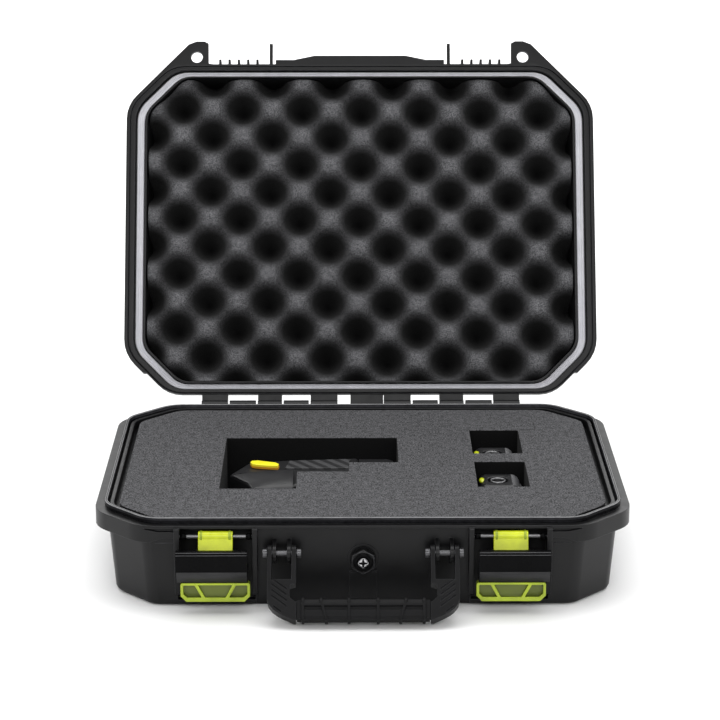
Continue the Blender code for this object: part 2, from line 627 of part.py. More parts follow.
def tool_half(name, low, high, hollow_low, hollow_high):
    half = plate(name, [TOOL_OUTLINE, GUARD_HOLE], low, high)
    hollows = [
        plate("hollow", [[(-95, 7), (-60, 7), (-60, -10), (-85.5, -20), (-92, -12)]], hollow_low, hollow_high),
        plate("hollow", [[(-84.5, -56), (-62, -56.5), (-62, -9), (-84.5, -9)]], hollow_low, hollow_high),
        box("hollow", (-92, 5.5, hollow_low), (-6, 40, hollow_high)),
        box("slot", (-49.5, -4, TOOL_SPLIT_Z - 4.5), (-28, 8, TOOL_SPLIT_Z + 4.5)),
    ]
    return half, hollows


def build_tool(axis):
    lower, hollows = tool_half("lower", TOOL_FLOOR_Z + GAP, TOOL_SPLIT_Z, TOOL_FLOOR_Z + 3, TOOL_SPLIT_Z + 1)
    finish(cut(lower, hollows), "tool_housing_lower", BLACK, axis)
    upper, hollows = tool_half("upper", TOOL_SPLIT_Z + GAP, TOOL_TOP_Z, TOOL_SPLIT_Z - 1, TOOL_TOP_Z - 2.8)
    upper = round_rim(upper, TOOL_TOP_Z, 1.6, 1)
    recess = plate("recess", [[(-66, 21), (-10, 21), (-10, 46.5), (-62, 41.5)]], TOOL_TOP_Z - 0.9, TOOL_TOP_Z + 2)
    lever_hole = rod("lever_hole", 1.9, (*LEVER_PIVOT, 45), (*LEVER_PIVOT, 60), 12)
    screw_seats = [rod("seat", 2.0, (x, y, TOOL_TOP_Z - 1.6), (x, y, TOOL_TOP_Z + 2), 12) for x, y in SCREWS]
    finish(cut(upper, hollows + [recess, lever_hole] + screw_seats), "tool_housing_upper", BLACK, axis)
    panel = plate("panel", [[(-65.4, 21.6), (-10.6, 21.6), (-10.6, 45.8), (-61.8, 41.1)]],
                  TOOL_TOP_Z - 0.6, TOOL_TOP_Z + 0.9)
    finish(panel, "tool_side_panel", CARBON, axis)
    for number, (x, y) in enumerate(SCREWS, 1):
        screw = rod("screw", 1.6, (x, y, TOOL_TOP_Z - 1.3), (x, y, TOOL_TOP_Z - 0.2), 12)
        finish(screw, f"tool_screw_{number}", STEEL, axis)
    finish(rod("pin", 1.3, (*TRIGGER_PIVOT, TOOL_FLOOR_Z + 3.3), (*TRIGGER_PIVOT, TOOL_TOP_Z - 3.1), 12),
           "tool_trigger_pin", STEEL, axis)
    finish(build_trigger_spring(), "tool_trigger_spring", STEEL, axis)
    battery = round_off(box("battery", (-83.5, -54.5, TOOL_FLOOR_Z + 4), (-63, -9.5, TOOL_TOP_Z - 4)), 3, 2)
    finish(battery, "tool_battery", BLACK, axis)
    build_tool_front(axis)
    build_trigger(axis)
    build_tool_lever(axis)


def build_trigger_spring():
    """A torsion spring on the trigger's pin."""
    curve = bpy.data.curves.new("spring", "CURVE")
    curve.dimensions = "3D"
    curve.bevel_depth = 0.45 * MM
    curve.bevel_resolution = 1
    curve.use_fill_caps = True
    spline = curve.splines.new("POLY")
    turns, per_turn, radius, bottom, pitch = 3, 10, 2.3, 43.4, 1.3
    count = turns * per_turn + 1
    spline.points.add(count - 1)
    for i, point in enumerate(spline.points):
        angle = 2 * math.pi * i / per_turn
        x = TRIGGER_PIVOT[0] + radius * math.cos(angle)
        y = TRIGGER_PIVOT[1] + radius * math.sin(angle)
        point.co = (x * MM, y * MM, (bottom + pitch * i / per_turn) * MM, 1)
    return bake(helper("spring", curve))


def build_tool_front(axis):
    """The plug-in front module, with a round port and a yellow edge strip."""
    block = [(-2.4, 8.5), (22, 8.5), (27, 13), (27, 46), (22, 50.5), (-2.4, 50.5)]
    body = plate("front", [block], TOOL_FLOOR_Z + GAP, TOOL_TOP_Z - 1.0)
    port = rod("port", 9.0, (20, 29.5, TOOL_SPLIT_Z), (30, 29.5, TOOL_SPLIT_Z), 20)
    strip_seat = box("seat", (2, 30, TOOL_TOP_Z - 2.2), (24, 34, TOOL_TOP_Z + 3))
    finish(cut(body, [port, strip_seat]), "tool_front_module", BLACK, axis)
    finish(box("strip", (2.4, 30.4, TOOL_TOP_Z - 1.9), (23.6, 33.6, TOOL_TOP_Z - 0.4)), "tool_front_strip", YELLOW, axis)
    ring = turned("ring", [(8.6, 3.0), (8.6, 0.0), (5.0, 0.0), (5.0, 2.0), (7.0, 3.0)])
    ring.data.transform(Matrix.Translation((20.4 * MM, 29.5 * MM, TOOL_SPLIT_Z * MM)) @ Matrix.Rotation(math.radians(90), 4, "Y"))
    finish(ring, "tool_port_ring", STEEL, axis)


def build_trigger(axis):
    x, y = TRIGGER_PIVOT
    pull_axis = joint_axis("trigger_axis", (x, y, TOOL_SPLIT_Z))
    hub = rod("hub", 3.4, (x, y, TOOL_SPLIT_Z - 4.0), (x, y, TOOL_SPLIT_Z + 4.0), 16)
    blade = [(x - 2.5, y), (x + 2.5, y), (x + 0.5, -2), (x - 0.5, -7), (x + 1.0, -10.5), (x - 1.5, -10.5),
             (x - 4.0, -6), (x - 3.5, 0)]
    trigger = merge(hub, [plate("blade", [blade], TOOL_SPLIT_Z - 3.6, TOOL_SPLIT_Z + 3.6)])
    trigger = cut(trigger, [rod("bore", 1.65, (x, y, 20), (x, y, 60), 12)])
    finish(trigger, "tool_trigger", YELLOW, pull_axis)
    pull_axis.parent = axis
    pull_axis.matrix_parent_inverse = Matrix.Translation(axis.location).inverted()


def build_tool_lever(axis):
    """The yellow lever on the tool's side, wide at its pivot and narrow at its tip."""
    x, y = LEVER_PIVOT
    turn_axis = joint_axis("tool_lever_axis", (x, y, TOOL_TOP_Z))
    outline = [(x - 4.6, y + 2), (x - 3, y + 5.5), (x + 2, y + 6.2), (x + 17, y + 0.5), (x + 20, y - 3.5),
               (x + 19, y - 8.5), (x + 3, y - 5.5), (x - 3, y - 3)]
    arm = plate("arm", [outline], TOOL_TOP_Z + GAP, TOOL_TOP_Z + 4.3)
    stem = rod("stem", 1.6, (x, y, 48), (x, y, TOOL_TOP_Z + 1), 12)
    finish(merge(arm, [stem]), "tool_lever", YELLOW, turn_axis)
    turn_axis.parent = axis
    turn_axis.matrix_parent_inverse = Matrix.Translation(axis.location).inverted()


# ---- plug-in modules standing in their pockets ----
MODULES = {"front": (116.3, -23.2), "rear": (115.5, 47.0)}


def build_module(word, centre):
    cx, cy = centre
    axis = joint_axis(f"module_{word}_axis", (cx, cy, TOOL_FLOOR_Z))
    corner = 5.0
    outline = [(cx - 18.5, cy - 18.5 + corner), (cx - 18.5 + corner, cy - 18.5), (cx + 9, cy - 18.5),
               (cx + 13, cy - 14), (cx + 13, cy + 14), (cx + 9, cy + 18.5), (cx - 18.5 + corner, cy + 18.5),
               (cx - 18.5, cy + 18.5 - corner)]
    case = plate("case", [outline], TOOL_FLOOR_Z + GAP, MODULE_TOP_Z)
    port = rod("port", 9.4, (cx, cy, MODULE_TOP_Z - 5), (cx, cy, MODULE_TOP_Z + 5), 24)
    button_seat = box("seat", (cx - 17.2, cy - 4.2, MODULE_TOP_Z - 6), (cx - 11.6, cy + 4.2, MODULE_TOP_Z + 3))
    finish(cut(case, [port, button_seat]), f"module_{word}_case", BLACK, axis)
    ring = turned("ring", [(9.0, 5.8), (9.0, 0.0), (6.4, 0.0), (6.4, 4.6), (7.6, 5.8)])
    ring.data.transform(Matrix.Translation((cx * MM, cy * MM, (MODULE_TOP_Z - 4.7) * MM)))
    finish(ring, f"module_{word}_ring", STEEL, axis)
    plug = turned("plug", [(0, 3.6), (2.4, 3.2), (3.0, 4.2), (6.0, 4.2), (6.0, 0.0), (0, 0.0)])
    plug.data.transform(Matrix.Translation((cx * MM, cy * MM, (MODULE_TOP_Z - 4.7) * MM)))
    finish(plug, f"module_{word}_plug", RUBBER, axis)
    side_clip = [(cx + 13.3, 22.0), (cx + 16.8, 22.0), (cx + 19.6, MODULE_TOP_Z - 16), (cx + 18.0, MODULE_TOP_Z - 5),
                 (cx + 13.3, MODULE_TOP_Z - 0.6)]
    clip = plate("clip", [side_clip], cy - 13.0, cy + 13.0, "Y")
    finish(clip, f"module_{word}_clip", BLACK, axis)
    press = joint_axis(f"module_{word}_button_axis", (cx - 14.4, cy, MODULE_TOP_Z))
    button = box("button", (cx - 16.8, cy - 3.8, MODULE_TOP_Z - 3.0), (cx - 12.0, cy + 3.8, MODULE_TOP_Z + 1.6))
    finish(round_off(button, 0.7), f"module_{word}_button", YELLOW, press)
    press.parent = axis
    press.matrix_parent_inverse = Matrix.Translation(axis.location).inverted()


def build():
    lid_axis = joint_axis("lid_hinge_axis", (0, HINGE_Y, HINGE_Z))
    handle_axis = joint_axis("handle_axis", (0, HANDLE_Y, HANDLE_Z))
    tool_axis = joint_axis("tool_axis", (-45, 15, TOOL_FLOOR_Z))
    build_lower_shell()
    build_foam()
    build_hinge_pins()
    build_lid(lid_axis)
    lid_axis.rotation_euler.x = math.radians(-LID_OPEN_DEG)
    for side, word in zip(SIDES, ("left", "right")):
        build_latch(side, word)
    build_handle(handle_axis)
    handle_axis.rotation_euler.x = math.radians(-HANDLE_LEAN_DEG)
    build_handle_pins()
    build_valve()
    build_tool(tool_axis)
    for word, centre in MODULES.items():
        build_module(word, centre)
    bpy.context.view_layer.update()


build()
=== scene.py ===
"""The looks of an open hard-shell tool case: moulded shells, cut foam, latches, a handle, a tool and
two modules. Metres, +Z up, +Y from the latches to the hinge. Lid pieces are built closed and then
turned open."""

import json
import math

import bmesh
import bpy
import numpy as np
from mathutils import Matrix, Vector

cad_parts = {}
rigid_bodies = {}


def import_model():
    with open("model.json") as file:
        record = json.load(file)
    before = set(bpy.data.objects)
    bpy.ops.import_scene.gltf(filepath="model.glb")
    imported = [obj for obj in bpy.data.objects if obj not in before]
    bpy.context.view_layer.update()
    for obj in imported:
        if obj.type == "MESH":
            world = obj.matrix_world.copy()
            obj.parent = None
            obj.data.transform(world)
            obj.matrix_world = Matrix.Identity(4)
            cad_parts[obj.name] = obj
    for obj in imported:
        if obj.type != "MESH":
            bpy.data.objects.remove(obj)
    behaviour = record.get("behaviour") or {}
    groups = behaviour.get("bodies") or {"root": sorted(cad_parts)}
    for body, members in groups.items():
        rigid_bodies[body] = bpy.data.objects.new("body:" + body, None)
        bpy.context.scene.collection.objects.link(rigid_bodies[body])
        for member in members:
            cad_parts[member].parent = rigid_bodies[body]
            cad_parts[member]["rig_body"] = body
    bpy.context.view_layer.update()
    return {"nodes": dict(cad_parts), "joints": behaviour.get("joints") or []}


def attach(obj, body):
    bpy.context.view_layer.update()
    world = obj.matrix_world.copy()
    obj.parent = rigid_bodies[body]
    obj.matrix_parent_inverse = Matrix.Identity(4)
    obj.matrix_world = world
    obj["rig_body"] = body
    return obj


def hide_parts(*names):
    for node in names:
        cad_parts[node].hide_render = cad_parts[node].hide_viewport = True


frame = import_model()
MM = 0.001
SIDES = (("left", -1), ("right", 1))


# ---- the frame's own measures ----
def joint(name):
    return next(j for j in frame["joints"] if j["name"] == name)


def lid_opening():
    """The turn that takes the closed lid to where it is stored open."""
    hinge = joint("lid_hinge")
    pivot = Matrix.Translation(Vector(hinge["pos_m"]))
    turn = Matrix.Rotation(math.radians(hinge["range_deg"][0]), 4, Vector(hinge["axis"]))
    return (pivot @ turn @ pivot.inverted()).inverted()


OPEN_LID = lid_opening()


def cad_points(node, matrix=None):
    matrix = matrix or Matrix.Identity(4)
    return np.array([matrix @ v.co for v in frame["nodes"][node].data.vertices])


def closed_box(node):
    points = cad_points(node, OPEN_LID.inverted())
    return Vector(points.min(0)), Vector(points.max(0))


# The case's outline: an octagon round the foam, read from the lid foam's wide face.
# An offset counts in full along X, and by these shares along Y, across the chamfers and in the arcs.
GROW_Y, GROW_SUM, GROW_R = 0.68, 1.38, 0.6
FOAM_INSET = 0.2 * MM
FOAM_LOW, FOAM_HIGH = closed_box("lid_foam")
FOAM_FRONT, FOAM_BACK = FOAM_LOW.z, FOAM_HIGH.z
HALF_X = FOAM_HIGH.x + FOAM_INSET
HALF_Y = FOAM_HIGH.y + GROW_Y * FOAM_INSET
FOAM_POINTS = cad_points("lid_foam", OPEN_LID.inverted())
CORNER_SUM = float(max(abs(p[0]) + abs(p[1]) for p in FOAM_POINTS)) + GROW_SUM * FOAM_INSET
CORNER_R = 20 * MM


def rounded(corners, radius, steps):
    """A polygon's points with each corner replaced by an arc."""
    loop = []
    for i, corner in enumerate(corners):
        corner = Vector(corner)
        before = Vector(corners[i - 1]) - corner
        after = Vector(corners[(i + 1) % len(corners)]) - corner
        half = before.angle(after) / 2
        reach = min(radius / math.tan(half), before.length * 0.49, after.length * 0.49)
        inward = (before.normalized() + after.normalized()).normalized()
        middle = corner + inward * (reach / math.cos(half))
        first = corner + before.normalized() * reach - middle
        last = corner + after.normalized() * reach - middle
        sweep = first.angle_signed(last)
        for step in range(steps + 1):
            loop.append(middle + Matrix.Rotation(-sweep * step / steps, 2) @ first)
    return loop


def octagon(offset, steps=6):
    """The case's outline grown outward by an offset in metres."""
    half_x, half_y = HALF_X + offset, HALF_Y + GROW_Y * offset
    total = CORNER_SUM + GROW_SUM * offset
    end_x, end_y = total - half_y, total - half_x
    corners = [
        (half_x, -end_y), (half_x, end_y), (end_x, half_y), (-end_x, half_y),
        (-half_x, end_y), (-half_x, -end_y), (-end_x, -half_y), (end_x, -half_y),
    ]
    return rounded(corners, CORNER_R + GROW_R * offset, steps)


# The egg-crate foam: its half waves in X and Y, its shift and turn, and the depth of its hollows.
CRATE_PITCH = (27.47 * MM, 25.9 * MM)
CRATE_SHIFT = (-0.7 * MM, -111.8 * MM)
CRATE_TURN = math.radians(1.15)
CRATE_DEPTH = 31 * MM
CRATE_ROUNDING = 0.3       # lifts the saddles, so that the hollows are round
CRATE_POWER = 1.7          # narrows the hollows and widens the peaks
CRATE_STEP = 2.3 * MM      # the spacing of the surface's points
CRATE_FRONT_GAP = 0.8 * MM
CRATE_BACK_GAP = 0.3 * MM
CRATE_TAPER = 0.968        # the back outline's share of the front's


# ---- materials ----
def new_material(name, colour, roughness, metallic=0.0, specular=0.5):
    mat = bpy.data.materials.new(name)
    mat.use_nodes = True
    shader = mat.node_tree.nodes["Principled BSDF"]
    shader.inputs["Base Color"].default_value = (*colour, 1)
    shader.inputs["Roughness"].default_value = roughness
    shader.inputs["Metallic"].default_value = metallic
    shader.inputs["Specular IOR Level"].default_value = specular
    return mat, mat.node_tree, shader


def add(tree, kind, **values):
    node = tree.nodes.new(kind)
    for key, value in values.items():
        setattr(node, key, value)
    return node


def place(tree):
    """The point's own place in the row frame at rest."""
    return add(tree, "ShaderNodeTexCoord").outputs["Object"]


def noise(tree, scale, detail=3.0, roughness=0.55, vector=None):
    node = add(tree, "ShaderNodeTexNoise")
    node.inputs["Scale"].default_value = scale
    node.inputs["Detail"].default_value = detail
    node.inputs["Roughness"].default_value = roughness
    tree.links.new(vector or place(tree), node.inputs["Vector"])
    return node.outputs["Fac"]


def ramp(tree, value, stops):
    """A value or colour ramp: stops are (position, number or colour)."""
    node = add(tree, "ShaderNodeValToRGB")
    tree.links.new(value, node.inputs["Fac"])
    while len(node.color_ramp.elements) < len(stops):
        node.color_ramp.elements.new(0.5)
    for element, (position, colour) in zip(node.color_ramp.elements, stops):
        element.position = position
        element.color = (*colour, 1) if hasattr(colour, "__len__") else (colour, colour, colour, 1)
    return node.outputs["Color"]


def mix(tree, share, first, second):
    """Mixes two colours or sockets by a socket or number."""
    node = add(tree, "ShaderNodeMix", data_type="RGBA")
    for word, value in (("Factor", share), ("A", first), ("B", second)):
        if isinstance(value, bpy.types.NodeSocket):
            tree.links.new(value, node.inputs[word])
        else:
            node.inputs[word].default_value = value if isinstance(value, float) else (*value, 1)
    return node.outputs["Result"]


def math_node(tree, operation, first, second=0.0):
    node = add(tree, "ShaderNodeMath", operation=operation)
    for socket, value in zip(node.inputs, (first, second)):
        if isinstance(value, bpy.types.NodeSocket):
            tree.links.new(value, socket)
        else:
            socket.default_value = value
    return node.outputs["Value"]


def weighted(tree, value, weight):
    return math_node(tree, "MULTIPLY", value, weight)


def bump(tree, shader, height, strength, distance):
    node = add(tree, "ShaderNodeBump")
    node.inputs["Strength"].default_value = strength
    node.inputs["Distance"].default_value = distance
    tree.links.new(height, node.inputs["Height"])
    tree.links.new(node.outputs["Normal"], shader.inputs["Normal"])


def inside_box(tree, limits):
    """One inside an upright rectangle given as (x low, x high, y low, y high), else zero."""
    split = add(tree, "ShaderNodeSeparateXYZ")
    tree.links.new(place(tree), split.inputs["Vector"])
    x_low, x_high, y_low, y_high = limits
    share = 1.0
    for axis, test, limit in (("X", "GREATER_THAN", x_low), ("X", "LESS_THAN", x_high),
                              ("Y", "GREATER_THAN", y_low), ("Y", "LESS_THAN", y_high)):
        share = weighted(tree, share, math_node(tree, test, split.outputs[axis], limit))
    return share


def shade_behind(mat, level, amount, dark):
    """Paints shade on what lies deeper than a level along Y, as on the floor of a recess seen from the
    front.
    """
    tree = mat.node_tree
    shader = tree.nodes["Principled BSDF"]
    colour = shader.inputs["Base Color"].links[0].from_socket
    split = add(tree, "ShaderNodeSeparateXYZ")
    tree.links.new(place(tree), split.inputs["Vector"])
    share = weighted(tree, math_node(tree, "GREATER_THAN", split.outputs["Y"], level), amount)
    tree.links.new(mix(tree, share, colour, dark), shader.inputs["Base Color"])


def scaled(colour, factor):
    return tuple(min(c * factor, 1.0) for c in colour)


def mixed(first, second, share):
    return tuple(a + (b - a) * share for a, b in zip(first, second))


WEAR_AND_HIGHLIGHT_RADIUS = 0.7 * MM     # how far from an edge the plastic is rubbed paler and painted with a highlight


def moulded(name, colour, roughness, grain=1800.0, depth=0.00005, edge=1.9, specular=0.4):
    """Moulded plastic: a fine spark-eroded grain, faint flow marks, and edges made paler partly by handling
    wear and partly by a painted highlight, both scaled by edge.
    """
    mat, tree, shader = new_material(name, colour, roughness, specular=specular)
    flow = noise(tree, 45.0, 4.0)
    fine = noise(tree, grain, 2.0, 0.6)
    flow = ramp(tree, flow, [(0.35, 0.0), (0.7, 1.0)])
    shade = mix(tree, flow, scaled(colour, 0.82), scaled(colour, 1.22))
    rounding = add(tree, "ShaderNodeBevel", samples=4)
    rounding.inputs["Radius"].default_value = WEAR_AND_HIGHLIGHT_RADIUS
    geometry = add(tree, "ShaderNodeNewGeometry")
    facing = add(tree, "ShaderNodeVectorMath", operation="DOT_PRODUCT")
    tree.links.new(rounding.outputs["Normal"], facing.inputs[0])
    tree.links.new(geometry.outputs["Normal"], facing.inputs[1])
    # edge lightens the rounded edges: partly rubbed wear, partly a painted highlight
    rub_and_highlight = weighted(tree, noise(tree, 260.0, 3.0), 1.4)
    worn_and_highlit = weighted(tree, ramp(tree, facing.outputs["Value"], [(0.80, 1.0), (0.985, 0.0)]), rub_and_highlight)
    tree.links.new(mix(tree, worn_and_highlit, shade, scaled(colour, edge)), shader.inputs["Base Color"])
    smear = noise(tree, 90.0, 5.0, 0.65)
    gloss = ramp(tree, smear, [(0.3, roughness - 0.04), (0.75, roughness + 0.05)])
    tree.links.new(gloss, shader.inputs["Roughness"])
    bump(tree, shader, fine, 0.5, depth)
    return mat


# The light left in a hollow: shares of its depth, and shares of the foam's own shade.
HOLLOW_LIGHT = [(0.0, 1.0), (0.02, 0.76), (0.095, 0.42), (0.17, 0.23), (0.25, 0.13), (0.31, 0.06),
                (0.38, 0.012)]


def foam(name, dark, light, cell=750.0, depth=0.0006, walls=None, hollows=None, scores=()):
    """Open-cell foam: salt and pepper cells over slow shade changes. Cut walls can be given a darker colour,
    partly the foam's own tone and partly painted shade. Scores, given as upright rectangles, are near
    black. Hollows, given as (axis, first level, last level), are painted darker from one level to the
    other, as shade."""
    mat, tree, shader = new_material(name, dark, 1.0, specular=0.12)
    cells = noise(tree, cell, 2.0, 0.7)
    clumps = noise(tree, cell / 4, 3.0, 0.6)
    grain = math_node(tree, "ADD", weighted(tree, cells, 0.75), weighted(tree, clumps, 0.25))
    shade = ramp(tree, grain, [(0.41, dark), (0.5, mixed(dark, light, 0.45)), (0.59, light)])
    slow = ramp(tree, noise(tree, 22.0, 3.0), [(0.3, 0.9), (0.7, 1.0)])
    tint = add(tree, "ShaderNodeMix", data_type="RGBA", blend_type="MULTIPLY")
    tint.inputs["Factor"].default_value = 1.0
    tree.links.new(shade, tint.inputs["A"])
    tree.links.new(slow, tint.inputs["B"])
    colour = tint.outputs["Result"]
    # The cut walls' darker colour: partly the foam's own tone, partly painted shade.
    if walls is not None:
        geometry = add(tree, "ShaderNodeNewGeometry")
        split = add(tree, "ShaderNodeSeparateXYZ")
        tree.links.new(geometry.outputs["True Normal"], split.inputs["Vector"])
        flat = ramp(tree, split.outputs["Z"], [(0.45, 0.0), (0.8, 1.0)])
        colour = mix(tree, flat, walls, colour)
    for score in scores:
        colour = mix(tree, inside_box(tree, score), colour, scaled(dark, 0.05))
    # Hollows painted darker with depth, as the shade deep in the egg-crate.
    if hollows is not None:
        axis, first, last = hollows
        along = add(tree, "ShaderNodeVectorMath", operation="DOT_PRODUCT")
        tree.links.new(place(tree), along.inputs[0])
        along.inputs[1].default_value = axis
        deep = math_node(tree, "SUBTRACT", along.outputs["Value"], first)
        lit = ramp(tree, math_node(tree, "DIVIDE", deep, last - first), HOLLOW_LIGHT)
        colour = mix(tree, lit, scaled(dark, 0.01), colour)
    tree.links.new(colour, shader.inputs["Base Color"])
    shader.inputs["Sheen Weight"].default_value = 0.03
    shader.inputs["Sheen Roughness"].default_value = 0.7
    bump(tree, shader, grain, 0.9, depth)
    return mat


def brushed_steel(name, colour=(0.56, 0.56, 0.57), roughness=0.28):
    mat, tree, shader = new_material(name, colour, roughness, metallic=1.0)
    streak = add(tree, "ShaderNodeMapping")
    streak.inputs["Scale"].default_value = (0.06, 1.0, 1.0)
    tree.links.new(place(tree), streak.inputs["Vector"])
    lines = noise(tree, 2600.0, 3.0, 0.6, streak.outputs["Vector"])
    gloss = ramp(tree, lines, [(0.3, roughness - 0.1), (0.7, roughness + 0.14)])
    shade = mix(tree, lines, scaled(colour, 0.8), scaled(colour, 1.15))
    tree.links.new(gloss, shader.inputs["Roughness"])
    tree.links.new(shade, shader.inputs["Base Color"])
    bump(tree, shader, lines, 0.25, 0.00003)
    return mat


def rubber(name, colour, roughness, specular=0.35):
    mat, tree, shader = new_material(name, colour, roughness, specular=specular)
    fine = noise(tree, 1400.0, 3.0, 0.6)
    dust = ramp(tree, noise(tree, 70.0, 5.0, 0.7), [(0.45, 0.0), (0.8, 0.5)])
    gloss = ramp(tree, fine, [(0.3, roughness - 0.06), (0.7, roughness + 0.08)])
    tree.links.new(mix(tree, dust, colour, scaled(colour, 1.35)), shader.inputs["Base Color"])
    tree.links.new(gloss, shader.inputs["Roughness"])
    bump(tree, shader, fine, 0.4, 0.00006)
    return mat


def striped_panel(name):
    """A dark panel with slanted bands of two weaves, as on a carbon-look grip."""
    mat, tree, shader = new_material(name, (0.02, 0.02, 0.021), 0.4, specular=0.5)
    turn = add(tree, "ShaderNodeMapping")
    turn.inputs["Rotation"].default_value = (0, 0, math.radians(-38))
    tree.links.new(place(tree), turn.inputs["Vector"])
    bands = add(tree, "ShaderNodeTexWave", wave_type="BANDS", bands_direction="X", wave_profile="SIN")
    bands.inputs["Scale"].default_value = 32.0
    tree.links.new(turn.outputs["Vector"], bands.inputs["Vector"])
    weave = add(tree, "ShaderNodeTexWave", wave_type="BANDS", bands_direction="Y", wave_profile="SIN")
    weave.inputs["Scale"].default_value = 260.0
    tree.links.new(place(tree), weave.inputs["Vector"])
    share = ramp(tree, bands.outputs["Fac"], [(0.42, 0.0), (0.58, 1.0)])
    shade = mix(tree, share, (0.014, 0.014, 0.015), (0.052, 0.052, 0.054))
    tree.links.new(shade, shader.inputs["Base Color"])
    height = math_node(tree, "ADD", share, weighted(tree, weave.outputs["Fac"], 0.25))
    bump(tree, shader, height, 0.6, 0.0003)
    return mat


# The lid's axis and the levels between which the egg-crate's hollows are painted darker, as shade.
LID_AXIS = OPEN_LID.to_3x3() @ Vector((0, 0, 1))
CRATE_FACE = (OPEN_LID @ Vector((0, 0, FOAM_FRONT))).dot(LID_AXIS)
CRATE_LEVELS = (LID_AXIS, CRATE_FACE, CRATE_FACE + CRATE_DEPTH)
# The large edge factors of the black plastics paint highlights along their rounded edges, over some rubbed
# wear.
SHELL = moulded("shell_plastic", (0.0042, 0.0042, 0.0046), 0.40, edge=22.0, specular=0.26)
# Real smooth black plastic, and also the sheets painted as shade on the ridge's flanks, in the tool's
# channel and in the screw's cross recess.
SMOOTH_BLACK_AND_SHADE = moulded("smooth_black_plastic_and_shade", (0.0022, 0.0022, 0.0025), 0.28, grain=2600.0, depth=0.00002,
                       edge=12.0, specular=0.05)
HANDLE_BLACK = moulded("handle_plastic", (0.0032, 0.0032, 0.0036), 0.45, edge=16.0, specular=0.18)
# A paler strip painted as the light reflected by the latch lever's lower, slanted face.
LEVER_REFLECTION = moulded("lever_painted_reflection", (0.026, 0.026, 0.027), 0.5, grain=2200.0, edge=1.6, specular=0.2)
TOOL_BLACK = moulded("tool_plastic", (0.012, 0.012, 0.013), 0.36, grain=2400.0, edge=4.0)
# Cuts in the foam's top that were never plucked: x low, x high, y low, y high, in metres.
SCORES = (
    (0.1375, 0.1515, 0.0838, 0.0843), (0.1515, 0.1520, 0.0838, 0.1060), (0.1300, 0.1305, 0.0960, 0.1060),
    (-0.0640, -0.0635, 0.0615, 0.0700),
)
# walls: partly the cut foam's own darker tone, partly painted shade in the pockets.
PLUCK_FOAM = foam("pluck_foam", (0.012, 0.012, 0.013), (0.108, 0.108, 0.114),
                  walls=(0.0022, 0.0022, 0.0024), scores=SCORES)
EGG_FOAM = foam("egg_crate_foam", (0.066, 0.066, 0.070), (0.215, 0.215, 0.226),
                cell=1150.0, hollows=CRATE_LEVELS)
GASKET = rubber("gasket_rubber", (0.68, 0.68, 0.72), 0.45)
LIME = moulded("lime_plastic", (0.29, 0.375, 0.018), 0.38, depth=0.00003, edge=1.25, specular=0.5)
PULL_POCKET_Y = -169 * MM
PULL = moulded("pull_plastic", (0.37, 0.47, 0.02), 0.36, depth=0.00003, edge=1.4, specular=0.5)
# Painted shade on the floors of the pull's side pockets.
shade_behind(PULL, PULL_POCKET_Y, 0.82, (0.05, 0.065, 0.004))
YELLOW_LINK = moulded("yellow_lime_plastic", (0.55, 0.62, 0.010), 0.33, depth=0.00002, edge=1.15,
                      specular=0.5)
# The tool lever's side, painted orange-brown as its shade.
LEVER_SHADE_ORANGE = moulded("lever_painted_shade", (0.52, 0.25, 0.016), 0.4, depth=0.00002, edge=1.1)
YELLOW = moulded("yellow_plastic", (0.86, 0.72, 0.02), 0.33, depth=0.00002, edge=1.15, specular=0.5)
STEEL = brushed_steel("steel")
DARK_STEEL = brushed_steel("dark_steel", (0.11, 0.11, 0.115), 0.36)
DULL_STEEL = brushed_steel("dull_steel", (0.2, 0.2, 0.205), 0.4)
RUBBER = rubber("grip_rubber", (0.0032, 0.0032, 0.0036), 0.48, specular=0.16)
# The modules' grey clips, and also the strip painted as the highlight on each latch lever's top edge.
CLIP_GREY_AND_HIGHLIGHT = moulded("clip_plastic_and_highlight", (0.075, 0.075, 0.079), 0.45, grain=2400.0, edge=3.0)
# A pale strip painted as the highlight along each edge of the ridge.
RIDGE_HIGHLIGHT = moulded("ridge_bead_plastic", (0.20, 0.20, 0.206), 0.3, edge=1.5, specular=0.6)
PANEL = striped_panel("carbon_look_panel")


# ---- mesh helpers ----
def link(name, mesh, mat):
    piece = bpy.data.objects.new(name, mesh)
    bpy.context.scene.collection.objects.link(piece)
    mesh.materials.clear()
    mesh.materials.append(mat)
    return piece


def body_of(node):
    return frame["nodes"][node]["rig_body"]


FLAT_ANGLE = 1.2           # degrees: neighbours this close to level are one face
WELD_REACH = 3e-6


def merge_flats(mesh):
    """Welds the corners and joins flat neighbours into whole faces."""
    bm = bmesh.new()
    bm.from_mesh(mesh)
    bmesh.ops.remove_doubles(bm, verts=bm.verts, dist=WELD_REACH)
    bmesh.ops.dissolve_limit(bm, angle_limit=math.radians(FLAT_ANGLE), verts=bm.verts, edges=bm.edges,
                             use_dissolve_boundaries=False)
    bmesh.ops.triangulate(bm, faces=[face for face in bm.faces if len(face.verts) > 4])
    for face in bm.faces:
        face.smooth = True
    bm.to_mesh(mesh)
    bm.free()


def even_shading(piece, weight=50):
    even = piece.modifiers.new("even_shading", "WEIGHTED_NORMAL")
    even.weight = weight
    even.keep_sharp = False


def soften(piece, width, segments=2, angle=30):
    """Rounds the edges and evens the shading over flat faces."""
    bevel = piece.modifiers.new("rounded_edges", "BEVEL")
    bevel.width = width
    bevel.segments = segments
    bevel.limit_method = "ANGLE"
    bevel.angle_limit = math.radians(angle)
    bevel.use_clamp_overlap = False
    even_shading(piece, 60)
    return piece


def refined(node, mat, slot, width, name=None):
    """Stands for a CAD node with a copy of it whose edges are rounded."""
    mesh = frame["nodes"][node].data.copy()
    merge_flats(mesh)
    piece = soften(link(name or node + "_moulded", mesh, mat), width)
    return stand_for(piece, slot, node)


